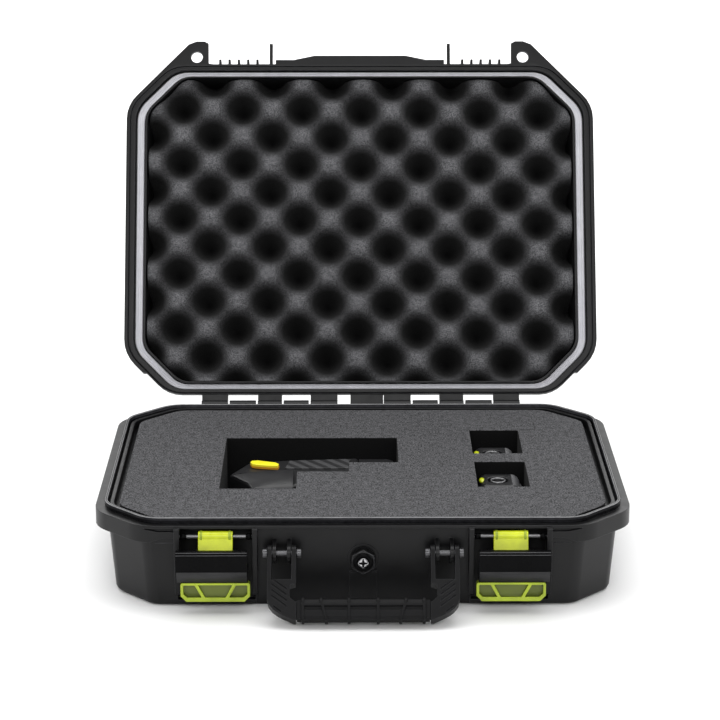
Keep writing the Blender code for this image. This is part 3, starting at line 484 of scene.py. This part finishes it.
def stand_for(piece, slot, *nodes):
    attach(piece, body_of(nodes[0]))
    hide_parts(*nodes)
    return piece


def extra(piece, body):
    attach(piece, body)
    return piece


def mesh_from(bm, name):
    bmesh.ops.recalc_face_normals(bm, faces=bm.faces)
    for face in bm.faces:
        face.smooth = True
    mesh = bpy.data.meshes.new(name)
    bm.to_mesh(mesh)
    bm.free()
    return mesh


def modelled(name, bm, mat):
    return link(name, mesh_from(bm, name), mat)


def bridge(bm, first, second):
    """Joins two rings of corners by a band of faces."""
    for i in range(len(first)):
        bm.faces.new((first[i], first[(i + 1) % len(first)], second[(i + 1) % len(second)], second[i]))


# ---- foam ----
def crate_depth(x, y):
    """How far the egg-crate surface lies behind its peaks."""
    u = x * math.cos(CRATE_TURN) + y * math.sin(CRATE_TURN) - CRATE_SHIFT[0]
    v = y * math.cos(CRATE_TURN) - x * math.sin(CRATE_TURN) - CRATE_SHIFT[1]
    a, b = math.pi * u / CRATE_PITCH[0], math.pi * v / CRATE_PITCH[1]
    wave = math.cos(a) * math.cos(b) - CRATE_ROUNDING * (math.sin(a) * math.sin(b)) ** 2
    return CRATE_DEPTH * ((1 + wave) / 2) ** CRATE_POWER


def build_lid_foam():
    """The egg-crate surface, cut to the outline, with straight sides back to the lid."""
    bm = bmesh.new()
    columns, rows = int(2 * HALF_X / CRATE_STEP), int(2 * HALF_Y / CRATE_STEP)
    bmesh.ops.create_grid(bm, x_segments=columns, y_segments=rows, size=0.5)
    bmesh.ops.scale(bm, vec=(2 * HALF_X + 2 * MM, 2 * HALF_Y + 2 * MM, 1), verts=bm.verts)
    outline = octagon(-0.5 * MM, 3)
    for start, end in zip(outline, outline[1:] + outline[:1]):
        along = (end - start).normalized()
        bmesh.ops.bisect_plane(
            bm, geom=bm.verts[:] + bm.edges[:] + bm.faces[:], dist=0.00001,
            plane_co=(*start, 0), plane_no=(along.y, -along.x, 0), clear_outer=True,
        )
    for vertex in bm.verts:
        vertex.co.z = FOAM_FRONT + CRATE_FRONT_GAP + crate_depth(vertex.co.x, vertex.co.y)
    rim = [edge for edge in bm.edges if edge.is_boundary]
    sides = bmesh.ops.extrude_edge_only(bm, edges=rim)["geom"]
    for vertex in (g for g in sides if isinstance(g, bmesh.types.BMVert)):
        vertex.co.x *= CRATE_TAPER
        vertex.co.y *= CRATE_TAPER
        vertex.co.z = FOAM_BACK - CRATE_BACK_GAP
    bmesh.ops.holes_fill(bm, edges=[edge for edge in bm.edges if edge.is_boundary])
    bm.transform(OPEN_LID)
    piece = modelled("lid_egg_crate_foam", bm, EGG_FOAM)
    stand_for(piece, "egg_crate_foam", "lid_foam")


def build_base_foam():
    insert = refined("base_foam_insert", PLUCK_FOAM, "pluck_foam", 0.7 * MM, "base_foam_cut")
    pad = refined("base_foam_pad", PLUCK_FOAM, "pluck_foam", 0.7 * MM, "base_foam_layer")


# ---- gasket and sealing ridge ----
# Across the gasket: (outline offset, height above its lips), in millimetres.
GASKET_PROFILE = [(3.4, 2.0), (3.4, 0.7), (4.0, 0.15), (4.9, 0.1), (5.6, 0.55), (6.1, 1.3), (7.2, 1.3),
                  (7.7, 0.55), (8.4, 0.0), (9.5, 0.1), (10.1, 0.7), (10.1, 2.0)]
# On the ridge: the inner and outer offset of each painted highlight strip, and of each painted shade sheet
# on a flank with its lower edge.
RIDGE_HIGHLIGHT_STRIPS = (("inner", 9.02, 9.6), ("outer", 10.5, 11.08))
RIDGE_SHADE_SHEETS = (("inner", 8.85, 9.05, 66.0), ("outer", 11.05, 11.3, 67.8))
RIDGE_TOP = 72.5
HIGHLIGHT_FOOT, HIGHLIGHT_CREST = RIDGE_TOP - 0.3, RIDGE_TOP + 0.12
HIGHLIGHT_SLOPE = 0.15


def swept(profile):
    """A closed profile of (outline offset, height) points in millimetres carried round the outline."""
    bm = bmesh.new()
    rings = []
    for offset, height in profile:
        rings.append([bm.verts.new((*p, height * MM)) for p in octagon(offset * MM, 8)])
    for first, second in zip(rings, rings[1:] + rings[:1]):
        bridge(bm, first, second)
    return bm


def build_gasket():
    """A rubber seal with two lips and a valley between them, following the outline."""
    base = closed_box("lid_gasket")[0].z / MM
    bm = swept([(offset, base + height) for offset, height in GASKET_PROFILE])
    bm.transform(OPEN_LID)
    piece = modelled("lid_gasket_lips", bm, GASKET)
    even_shading(piece)
    stand_for(piece, "gasket_rubber", "lid_gasket")


def build_ridge_highlight_and_shade():
    """Pale strips painted as highlights along the edges of the base's sealing ridge, and near-black sheets
    painted as the shade on its flanks.
    """
    body = body_of("lower_shell")
    for word, inner, outer in RIDGE_HIGHLIGHT_STRIPS:
        bm = swept([(inner, HIGHLIGHT_FOOT), (inner + HIGHLIGHT_SLOPE, HIGHLIGHT_CREST),
                    (outer - HIGHLIGHT_SLOPE, HIGHLIGHT_CREST), (outer, HIGHLIGHT_FOOT)])
        extra(modelled(f"ridge_bead_{word}", bm, RIDGE_HIGHLIGHT), body)
    # Near-black sheets painted as the shade on the ridge's flanks.
    for word, inner, outer, low in RIDGE_SHADE_SHEETS:
        bm = swept([(inner, low), (inner, HIGHLIGHT_FOOT), (outer, HIGHLIGHT_FOOT), (outer, low)])
        extra(modelled(f"ridge_shade_sheet_{word}", bm, SMOOTH_BLACK_AND_SHADE), body)


# ---- pieces whose CAD shape is right, with rounded edges ----
# The nodes, their material, their slot and the rounding of their edges in millimetres.
REFINED = (
    (("lower_shell", "upper_shell"), SHELL, "shell_plastic", 0.45),
    (("handle_frame",), HANDLE_BLACK, "shell_plastic", 0.25),
    (("latch_left_lever", "latch_right_lever"), SMOOTH_BLACK_AND_SHADE, "black_plastic", 0.5),
    (("latch_left_link", "latch_right_link"), YELLOW_LINK, "lime_plastic", 0.5),
    (("latch_left_pull", "latch_right_pull"), PULL, "lime_plastic", 0.45),
    (("valve_body",), SHELL, "black_plastic", 0.9),
    (("valve_seal",), RUBBER, "grip_rubber", 0.3),
    (("handle_pin_left", "handle_pin_right", "hinge_pin_left", "hinge_pin_right"),
     DARK_STEEL, "steel", 0.3),
    (("latch_left_pin", "latch_right_pin"), DULL_STEEL, "steel", 0.2),
    (("valve_screw", "latch_left_arm_pin", "latch_right_arm_pin", "tool_screw_1", "tool_screw_2",
      "tool_screw_3", "tool_trigger_pin", "tool_port_ring"), STEEL, "steel", 0.2),
    (("tool_housing_lower", "tool_housing_upper", "tool_front_module"), TOOL_BLACK, "black_plastic", 0.6),
    (("tool_battery",), SMOOTH_BLACK_AND_SHADE, "black_plastic", 0.4),
    (("tool_lever", "tool_trigger", "tool_front_strip"), YELLOW, "yellow_plastic", 0.5),
    (("tool_side_panel",), PANEL, "carbon_weave", 0.3),
)


def build_refined():
    for nodes, mat, slot, width in REFINED:
        for node in nodes:
            refined(node, mat, slot, width * MM)


def dress_spring():
    spring = frame["nodes"]["tool_trigger_spring"]
    spring.data.materials.clear()
    spring.data.materials.append(STEEL)


# ---- plates and turned shapes ----
JOIN_REACH = 2e-6


def plate(name, loops, low, high, matrix):
    """An outline with inner loops as holes, in millimetres, made thick from low to high along local Z."""
    curve = bpy.data.curves.new(name, "CURVE")
    curve.dimensions = "2D"
    curve.fill_mode = "BOTH"
    curve.extrude = (high - low) / 2 * MM
    for loop in loops:
        spline = curve.splines.new("POLY")
        spline.points.add(len(loop) - 1)
        for point, (u, v) in zip(spline.points, loop):
            point.co = (u * MM, v * MM, 0, 1)
        spline.use_cyclic_u = True
    holder = bpy.data.objects.new(name, curve)
    bpy.context.scene.collection.objects.link(holder)
    bpy.context.view_layer.update()
    solid = holder.evaluated_get(bpy.context.evaluated_depsgraph_get())
    mesh = bpy.data.meshes.new_from_object(solid)
    bpy.data.objects.remove(holder)
    mesh.transform(matrix @ Matrix.Translation((0, 0, (low + high) / 2 * MM)))
    return mesh


def joined(name, meshes):
    """One mesh of several, welded where their corners meet."""
    bm = bmesh.new()
    for mesh in meshes:
        bm.from_mesh(mesh)
        bpy.data.meshes.remove(mesh)
    bmesh.ops.remove_doubles(bm, verts=bm.verts, dist=JOIN_REACH)
    return mesh_from(bm, name)


def assembled(name, mat, *meshes):
    return link(name, joined(name, meshes), mat)


def circle(radius, count, x=0.0):
    angles = [2 * math.pi * i / count for i in range(count)]
    return [(x + radius * math.cos(a), radius * math.sin(a)) for a in angles]


def ring_of(bm, points, z):
    """A ring of corners at a height, in millimetres."""
    return [bm.verts.new((x * MM, y * MM, z * MM)) for x, y in points]


def turned(name, profile, matrix, sides=40):
    """A closed profile of (radius, height) points in millimetres turned about local Z."""
    bm = bmesh.new()
    rings = []
    for radius, height in profile:
        count = sides if radius > 0 else 1
        rings.append(ring_of(bm, circle(radius, count), height))
    for first, second in zip(rings, rings[1:] + rings[:1]):
        for i in range(sides):
            here, ahead = (first[i % len(first)], second[i % len(second)]), i + 1
            corners = (here[0], first[ahead % len(first)], second[ahead % len(second)], here[1])
            corners = list(dict.fromkeys(corners))
            if len(corners) > 2:
                bm.faces.new(corners)
    bm.transform(matrix)
    return mesh_from(bm, name)


# The local X of an outline runs along Y and its local Y along Z, so that it is thick along X.
ALONG_X = Matrix(((0, 0, 1, 0), (1, 0, 0, 0), (0, 1, 0, 0), (0, 0, 0, 1)))
# An outline seen from the front: its local X along X, its local Y along Z, thick toward the viewer.
FACING_FRONT = Matrix(((1, 0, 0, 0), (0, 0, -1, 0), (0, 1, 0, 0), (0, 0, 0, 1)))


# ---- handle grip ----
HANDLE_PIVOT = Matrix.Translation(Vector(joint("handle_swing")["pos_m"]))
HANDLE_LEAN = math.radians(42.6)
GRIP_HALF, GRIP_END = 51.5, 48.4
# The sleeve's sections across the handle, as it hangs straight down from its pivot, in millimetres.
GRIP_CORE = [(-1.0, -39.9), (-4.6, -39.9), (-6.7, -41.2), (-6.9, -43.9), (-8.1, -44.4), (-8.1, -46.3),
             (-6.2, -47.0), (-6.2, -49.0), (-7.3, -49.8), (-7.3, -54.8), (-5.2, -56.6), (3.4, -56.6),
             (5.3, -54.8), (5.3, -41.8), (3.4, -39.9)]
GRIP_RIB = [(-3.6, -38.8), (-6.6, -39.6), (-8.2, -42.0), (-8.2, -55.0), (-5.6, -57.5), (3.8, -57.5),
            (6.2, -55.0), (6.2, -41.2), (3.9, -38.8)]
GRIP_NECK = [(-5.6, -41.0), (-5.6, -55.6), (4.6, -55.6), (4.6, -41.0)]
GRIP_HOLLOW = [(-4.4, -55.0), (3.4, -55.0), (3.4, -41.2), (-4.4, -41.2)]
RIB_PLACES = ((-46.9, 0.0), (-32.9, 4.4), (-11.3, 0.0), (11.3, 0.0), (32.9, -4.4), (46.9, 0.0))
RIB_HALF = 1.15
SLANT_START, SLANT_REACH = -46.0, 11.5    # the slanted ribs lean from this height down


def build_grip():
    """A soft sleeve with raised ribs, two of them slanted, a ridge along its front and narrow necks."""
    turn = HANDLE_PIVOT @ Matrix.Rotation(-HANDLE_LEAN, 4, "X")
    core = plate("core", [GRIP_CORE, GRIP_HOLLOW], -GRIP_END, GRIP_END, ALONG_X)
    neck = plate("neck", [GRIP_NECK, GRIP_HOLLOW], -GRIP_HALF, GRIP_HALF, ALONG_X)
    ribs = []
    for x, slant in RIB_PLACES:
        rib = plate("rib", [GRIP_RIB, GRIP_HOLLOW], x - RIB_HALF, x + RIB_HALF, ALONG_X)
        for vertex in rib.vertices:
            share = min(max((SLANT_START - vertex.co.z / MM) / SLANT_REACH, 0.0), 1.0)
            vertex.co.x += slant * share * MM
        ribs.append(rib)
    mesh = joined("handle_grip_ribbed", [core, neck] + ribs)
    mesh.transform(turn)
    piece = link("handle_grip_ribbed", mesh, RUBBER)
    stand_for(soften(piece, 0.3 * MM, 1), "grip_rubber", "handle_grip")


# ---- valve ----
CROSS = [(3.3, -0.4), (3.3, 0.4), (1.1, 1.1), (0.4, 3.3), (-0.4, 3.3), (-1.1, 1.1), (-3.3, 0.4),
         (-3.3, -0.4), (-1.1, -1.1), (-0.4, -3.3), (0.4, -3.3), (1.1, -1.1)]
VENT_PROFILE = [(4.35, -0.7), (4.35, -0.15), (7.2, -1.2), (8.7, -2.9), (8.7, -3.6), (5.0, -3.6)]


def build_valve_face():
    """The dark vent disc round the valve's screw, and a black cross painted as the shade in the screw's
    cross recess.
    """
    points = cad_points("valve_screw")
    centre = (points.max(0) + points.min(0)) / 2
    front = Matrix.Translation((centre[0], float(points.min(0)[1]), centre[2])) @ FACING_FRONT
    cross = assembled("valve_screw_recess_shade", SMOOTH_BLACK_AND_SHADE, plate("cross", [CROSS], -0.6, 0.04, front))
    extra(cross, body_of("valve_screw"))
    disc = turned("valve_vent_disc", VENT_PROFILE, front)
    extra(link("valve_vent_disc", disc, SMOOTH_BLACK_AND_SHADE), body_of("valve_body"))


# ---- latches ----
# The strips of painted light on the lever: their section across the lever, their inset from the lever's
# ends, their material.
LEVER_PIECES = (
    ("pad", [(-173.85, 36.3), (-169.15, 26.3), (-168.7, 26.5), (-173.3, 36.4)], 0.7, LEVER_REFLECTION),
    ("rim", [(-173.75, 50.1), (-172.0, 51.95), (-171.6, 51.6), (-173.3, 49.9)], 0.5, CLIP_GREY_AND_HIGHLIGHT),
)
COLLAR_SPANS = ((87.3, 92.0), (138.5, 143.7))
COLLAR_RADII = (1.7, 2.5)
BAND_SHIFT = 11.2
BAND_PROFILE = [(4.2, -1.0), (4.85, -0.8), (4.85, 0.8), (4.2, 1.0)]


def build_lever_painted_light():
    """A paler, matt strip on the lower, slanted face of each latch lever, painted as the light that face
    reflects, and a grey strip painted as the highlight along the lever's top edge.
    """
    for word, _ in SIDES:
        lever = f"latch_{word}_lever"
        points = cad_points(lever) / MM
        low, high = float(points[:, 0].min()), float(points[:, 0].max())
        for kind, outline, inset, mat in LEVER_PIECES:
            strip = plate(kind, [outline], low + inset, high - inset, ALONG_X)
            extra(assembled(f"{lever}_{kind}", mat, strip), body_of(lever))


def across(x, y, z):
    """A place in millimetres where a turned shape's axis runs along X."""
    return Matrix.Translation((x * MM, y * MM, z * MM)) @ Matrix.Rotation(math.pi / 2, 4, "Y")


def build_pin_collars():
    """Dark collars on the outer ends of each latch's upper pin, and a raised band near each end of its
    link."""
    inside, outside = COLLAR_RADII
    for word, side in SIDES:
        points = cad_points(f"latch_{word}_pin") / MM
        y, z = float(points[:, 1].mean()), float(points[:, 2].mean())
        for number, (inner, outer) in enumerate(COLLAR_SPANS, 1):
            half = (outer - inner) / 2
            name = f"latch_{word}_collar_{number}"
            section = [(inside, -half), (outside, -half), (outside, half), (inside, half)]
            collar = turned(name, section, across(side * (inner + half), y, z), 20)
            extra(link(name, collar, SMOOTH_BLACK_AND_SHADE), body_of(f"latch_{word}_pin"))
        middle = float(points[:, 0].min() + points[:, 0].max()) / 2
        for number, shift in enumerate((-BAND_SHIFT, BAND_SHIFT), 1):
            name = f"latch_{word}_link_band_{number}"
            band = turned(name, BAND_PROFILE, across(middle + shift, y, z), 32)
            extra(link(name, band, LIME), body_of(f"latch_{word}_link"))


# ---- the tool ----
TOOL_TOP = 54.5
SWELL_HEIGHT, SWELL_BACK, SWELL_DEPTH, SWELL_RIGHT = 5.0, 5.2, 33.0, -57.6
SWELL_LEFT = ((5.2, -110.0), (-14.0, -95.5), (-30.0, -90.4))    # the left edge: (y, x)
SWELL_COLUMNS, SWELL_ROWS = 30, 18
SWELL_FALL = 2.2                                                # how blunt the swell's left end is
CHANNEL = [(-109.5, 5.6), (-59, 5.4), (-58, 9.6), (-100, 11.6)]
LEVER_EDGE = [(-4.6, 2), (-3, 5.5), (2, 6.2), (17, 0.5), (20, -3.5), (19, -8.5), (3, -5.5), (-3, -3)]
FLANK_GROWTH = (1.018, 1.03)


def swell_left(y):
    for (y0, x0), (y1, x1) in zip(SWELL_LEFT, SWELL_LEFT[1:]):
        if y >= y1:
            return x0 + (x1 - x0) * (y - y0) / (y1 - y0)
    return SWELL_LEFT[-1][1]


def build_tool_swell():
    """The grip's palm swell: flat along its back edge, rolling down toward the front and the tip."""
    bm = bmesh.new()
    rows = []
    for j in range(SWELL_ROWS + 1):
        t = j / SWELL_ROWS
        y = SWELL_BACK - SWELL_DEPTH * t
        left = swell_left(y)
        row = []
        for i in range(SWELL_COLUMNS + 1):
            u = i / SWELL_COLUMNS
            rise = (1 - (1 - u) ** SWELL_FALL) * math.sqrt(max(1 - t * t, 0.0))
            x, z = left + (SWELL_RIGHT - left) * u, TOOL_TOP + 0.1 + SWELL_HEIGHT * rise
            row.append(bm.verts.new((x * MM, y * MM, z * MM)))
        rows.append(row)
    for near, far in zip(rows, rows[1:]):
        for i in range(SWELL_COLUMNS):
            bm.faces.new((near[i], near[i + 1], far[i + 1], far[i]))
    rim = [edge for edge in bm.edges if edge.is_boundary]
    foot = bmesh.ops.extrude_edge_only(bm, edges=rim)["geom"]
    for vertex in (g for g in foot if isinstance(g, bmesh.types.BMVert)):
        vertex.co.z = (TOOL_TOP - 0.3) * MM
    bmesh.ops.holes_fill(bm, edges=[edge for edge in bm.edges if edge.is_boundary])
    piece = modelled("tool_palm_swell", bm, TOOL_BLACK)
    soften(piece, 0.35 * MM, 2, 50)
    body = body_of("tool_housing_upper")
    extra(piece, body)
    # A near-black strip painted as the shade in the channel along the grip's crease.
    strip = plate("channel", [CHANNEL], TOOL_TOP - 0.2, TOOL_TOP + 0.12, Matrix.Identity(4))
    extra(assembled("tool_channel_painted_shade", SMOOTH_BLACK_AND_SHADE, strip), body)


def build_lever_shaded_side():
    """The lever's lower half, painted orange as the shaded side of the yellow lever, a hair wider than its
    yellow cap.
    """
    pivot = joint("tool_lever_turn")["pos_m"]
    grown = [(x * FLANK_GROWTH[0], y * FLANK_GROWTH[1]) for x, y in LEVER_EDGE]
    place_at = Matrix.Translation((pivot[0], pivot[1], 0))
    band = plate("flank", [grown], TOOL_TOP + 0.4, TOOL_TOP + 2.5, place_at)
    piece = assembled("tool_lever_shaded_side", LEVER_SHADE_ORANGE, band)
    extra(soften(piece, 0.3 * MM, 2), body_of("tool_lever"))


# ---- plug-in modules ----
# The case: heights with the outline's inset there, and the outline's left, right, half width and corners.
CASE_LEVELS = ((20.3, 0.4), (20.8, 0.0), (53.5, 0.0), (56.6, 0.7), (58.6, 2.0), (59.7, 3.6), (60.0, 5.0))
CASE_LEFT, CASE_RIGHT, CASE_HALF, CASE_CORNER = -18.5, 13.0, 18.5, 5.5
PORT_SHIFT, PORT_RADIUS, PORT_DEPTH = -3.0, 9.1, 4.4
BEZEL_PROFILE = [(6.5, -4.2), (6.5, -0.5), (6.1, 0.1), (5.4, 0.0), (5.0, -1.0), (5.0, -4.2)]
CUP_PROFILE = [(0, -4.2), (4.8, -4.2), (4.8, -1.6), (3.9, -2.4), (2.9, -2.5), (2.5, -1.5), (0, -1.3)]
OVAL_PLACE, OVAL_RADII = (-16.2, 2.0, 58.6), (2.5, 5.2, 1.9)


def case_outline(inset):
    x0, x1, y1 = CASE_LEFT + inset, CASE_RIGHT - inset * 0.8, CASE_HALF - inset
    return rounded([(x0, -y1), (x1, -y1), (x1, y1), (x0, y1)], CASE_CORNER - inset * 0.5, 5)


def build_module_case(word, matrix):
    """A block with rolled shoulders and a round recessed port."""
    bm = bmesh.new()
    rings = [ring_of(bm, case_outline(inset), z) for z, inset in CASE_LEVELS]
    for first, second in zip(rings, rings[1:]):
        bridge(bm, first, second)
    bm.faces.new(rings[0])
    top = CASE_LEVELS[-1][0]
    port = ((PORT_RADIUS, top), (PORT_RADIUS - 0.5, top - 0.5), (PORT_RADIUS - 0.5, top - PORT_DEPTH))
    circles = [ring_of(bm, circle(radius, 32, PORT_SHIFT), z) for radius, z in port]
    for first, second in zip(circles, circles[1:]):
        bridge(bm, first, second)
    bm.faces.new(circles[-1])
    open_edges = [edge for edge in bm.edges if edge.is_boundary]
    bmesh.ops.triangle_fill(bm, edges=open_edges, use_beauty=True)
    bm.transform(matrix)
    piece = soften(modelled(f"module_{word}_rolled_case", bm, TOOL_BLACK), 0.25 * MM, 2, 50)
    stand_for(piece, "black_plastic", f"module_{word}_case")


CLIP_OUTER = [(8.6, 60.6), (11.2, 59.9), (13.9, 58.0), (15.6, 55.0), (16.2, 50.0), (16.2, 24.0)]
CLIP_INNER = [(14.2, 24.0), (14.2, 50.0), (13.6, 53.8), (12.4, 56.6), (10.6, 58.6), (8.8, 59.4)]
CLIP_HALF, CLIP_RIBS, CLIP_RIB_PITCH, CLIP_RIB_HALF = 13.0, 10, 2.6, 0.75
STRAP = [(16.0, 55.2), (18.2, 52.0), (19.4, 47.0), (19.4, 30.0), (18.4, 30.0), (18.4, 46.6),
         (17.2, 51.2), (15.6, 53.8)]
STRAP_HALF = 4.0


def build_module_clip(word, matrix):
    """A curved spring clip on the right shoulder with ribs for the thumb, and a strap behind it."""
    upright = matrix @ FACING_FRONT
    slim = [(x - 0.35 if z < 57 else x - 0.1, z - 0.3) for x, z in CLIP_OUTER]
    parts = [plate("clip", [slim + CLIP_INNER], -CLIP_HALF, CLIP_HALF, upright)]
    for number in range(CLIP_RIBS):
        middle = (number - (CLIP_RIBS - 1) / 2) * CLIP_RIB_PITCH
        span = (middle - CLIP_RIB_HALF, middle + CLIP_RIB_HALF)
        parts.append(plate("rib", [CLIP_OUTER + CLIP_INNER], *span, upright))
    parts.append(plate("strap", [STRAP], -STRAP_HALF, STRAP_HALF, upright))
    piece = assembled(f"module_{word}_ribbed_clip", CLIP_GREY_AND_HIGHLIGHT, *parts)
    even_shading(piece)
    stand_for(piece, "black_plastic", f"module_{word}_clip")


def build_modules():
    for word in ("front", "rear"):
        points = cad_points(f"module_{word}_case")
        low, high = points.min(0), points.max(0)
        matrix = Matrix.Translation((float(low[0]) - CASE_LEFT * MM, float(low[1] + high[1]) / 2, 0))
        build_module_case(word, matrix)
        build_module_clip(word, matrix)
        port = matrix @ Matrix.Translation((PORT_SHIFT * MM, 0, CASE_LEVELS[-1][0] * MM))
        ring = turned("ring", BEZEL_PROFILE, port)
        stand_for(link(f"module_{word}_bezel", ring, DULL_STEEL), "steel", f"module_{word}_ring")
        cup = turned("cup", CUP_PROFILE, port)
        stand_for(link(f"module_{word}_cup", cup, RUBBER), "grip_rubber", f"module_{word}_plug")
        bm = bmesh.new()
        bmesh.ops.create_uvsphere(bm, u_segments=24, v_segments=14, radius=1.0)
        spot = Matrix.Translation([c * MM for c in OVAL_PLACE])
        bm.transform(matrix @ spot @ Matrix.Diagonal([r * MM for r in OVAL_RADII] + [1]))
        oval = modelled(f"module_{word}_oval", bm, YELLOW_LINK)
        stand_for(oval, "yellow_plastic", f"module_{word}_button")


# ---- stage ----
FLOOR_SIZE, FLOOR_GAP = 40, 0.4 * MM
WORLD_LIGHT = 0.45
# Each light: its name, its place, what it aims at, its size in metres and its power in watts.
LIGHTS = (
    ("overhead", (0, 0.3, 2.3), (0, 0.05, 0.1), (2.6, 1.8), 44),
    ("front", (0, -2.6, 1.7), (0, 0.2, 0.25), (1.8, 0.9), 26),
    ("backdrop", (0, 4.6, 2.6), (0, 4.6, 0), (9.0, 5.0), 420),
    ("left_strip", (-1.9, -0.4, 1.0), (0, 0, 0.1), (0.7, 1.6), 12),
    ("right_strip", (1.9, -0.4, 1.0), (0, 0, 0.1), (0.7, 1.6), 12),
)
CAMERA_LENS = 123.5
CAMERA_PLACE = (-0.013, -1.971, 0.738)
CAMERA_TILT = math.radians(90 - 16.41)
CAMERA_PAN = -math.atan(13 / 2250)


def build_stage():
    bpy.ops.mesh.primitive_plane_add(size=FLOOR_SIZE, location=(0, 0, -FLOOR_GAP))
    floor = bpy.context.object
    floor.name = "floor"
    mat, tree, shader = new_material("floor_paper", (0.86, 0.86, 0.86), 0.9, specular=0.1)
    shade = ramp(tree, noise(tree, 3.0, 2.0), [(0.3, (0.85, 0.85, 0.85)), (0.7, (0.87, 0.87, 0.87))])
    tree.links.new(shade, shader.inputs["Base Color"])
    floor.data.materials.append(mat)


def area_light(name, place_at, aim, size, power):
    data = bpy.data.lights.new(name, "AREA")
    data.shape = "RECTANGLE"
    data.size, data.size_y = size
    data.energy = power
    lamp = bpy.data.objects.new(name, data)
    lamp.location = place_at
    lamp.rotation_mode = "QUATERNION"
    lamp.rotation_quaternion = (Vector(aim) - Vector(place_at)).to_track_quat("-Z", "Y")
    bpy.context.scene.collection.objects.link(lamp)


def build_lights():
    world = bpy.data.worlds.new("studio")
    world.use_nodes = True
    background = world.node_tree.nodes["Background"]
    background.inputs["Color"].default_value = (1, 1, 1, 1)
    background.inputs["Strength"].default_value = WORLD_LIGHT
    bpy.context.scene.world = world
    for light in LIGHTS:
        area_light(*light)


def build_camera():
    data = bpy.data.cameras.new("camera")
    data.lens = CAMERA_LENS
    data.clip_end = 60
    camera = bpy.data.objects.new("camera", data)
    camera.location = CAMERA_PLACE
    camera.rotation_euler = (CAMERA_TILT, 0, CAMERA_PAN)
    bpy.context.scene.collection.objects.link(camera)
    bpy.context.scene.camera = camera


build_camera()
build_lights()
build_stage()
build_lid_foam()
build_base_foam()
build_gasket()
build_ridge_highlight_and_shade()
build_refined()
build_grip()
build_valve_face()
build_lever_painted_light()
build_pin_collars()
build_tool_swell()
build_lever_shaded_side()
build_modules()
dress_spring()
bpy.context.scene.view_settings.view_transform = "Standard"
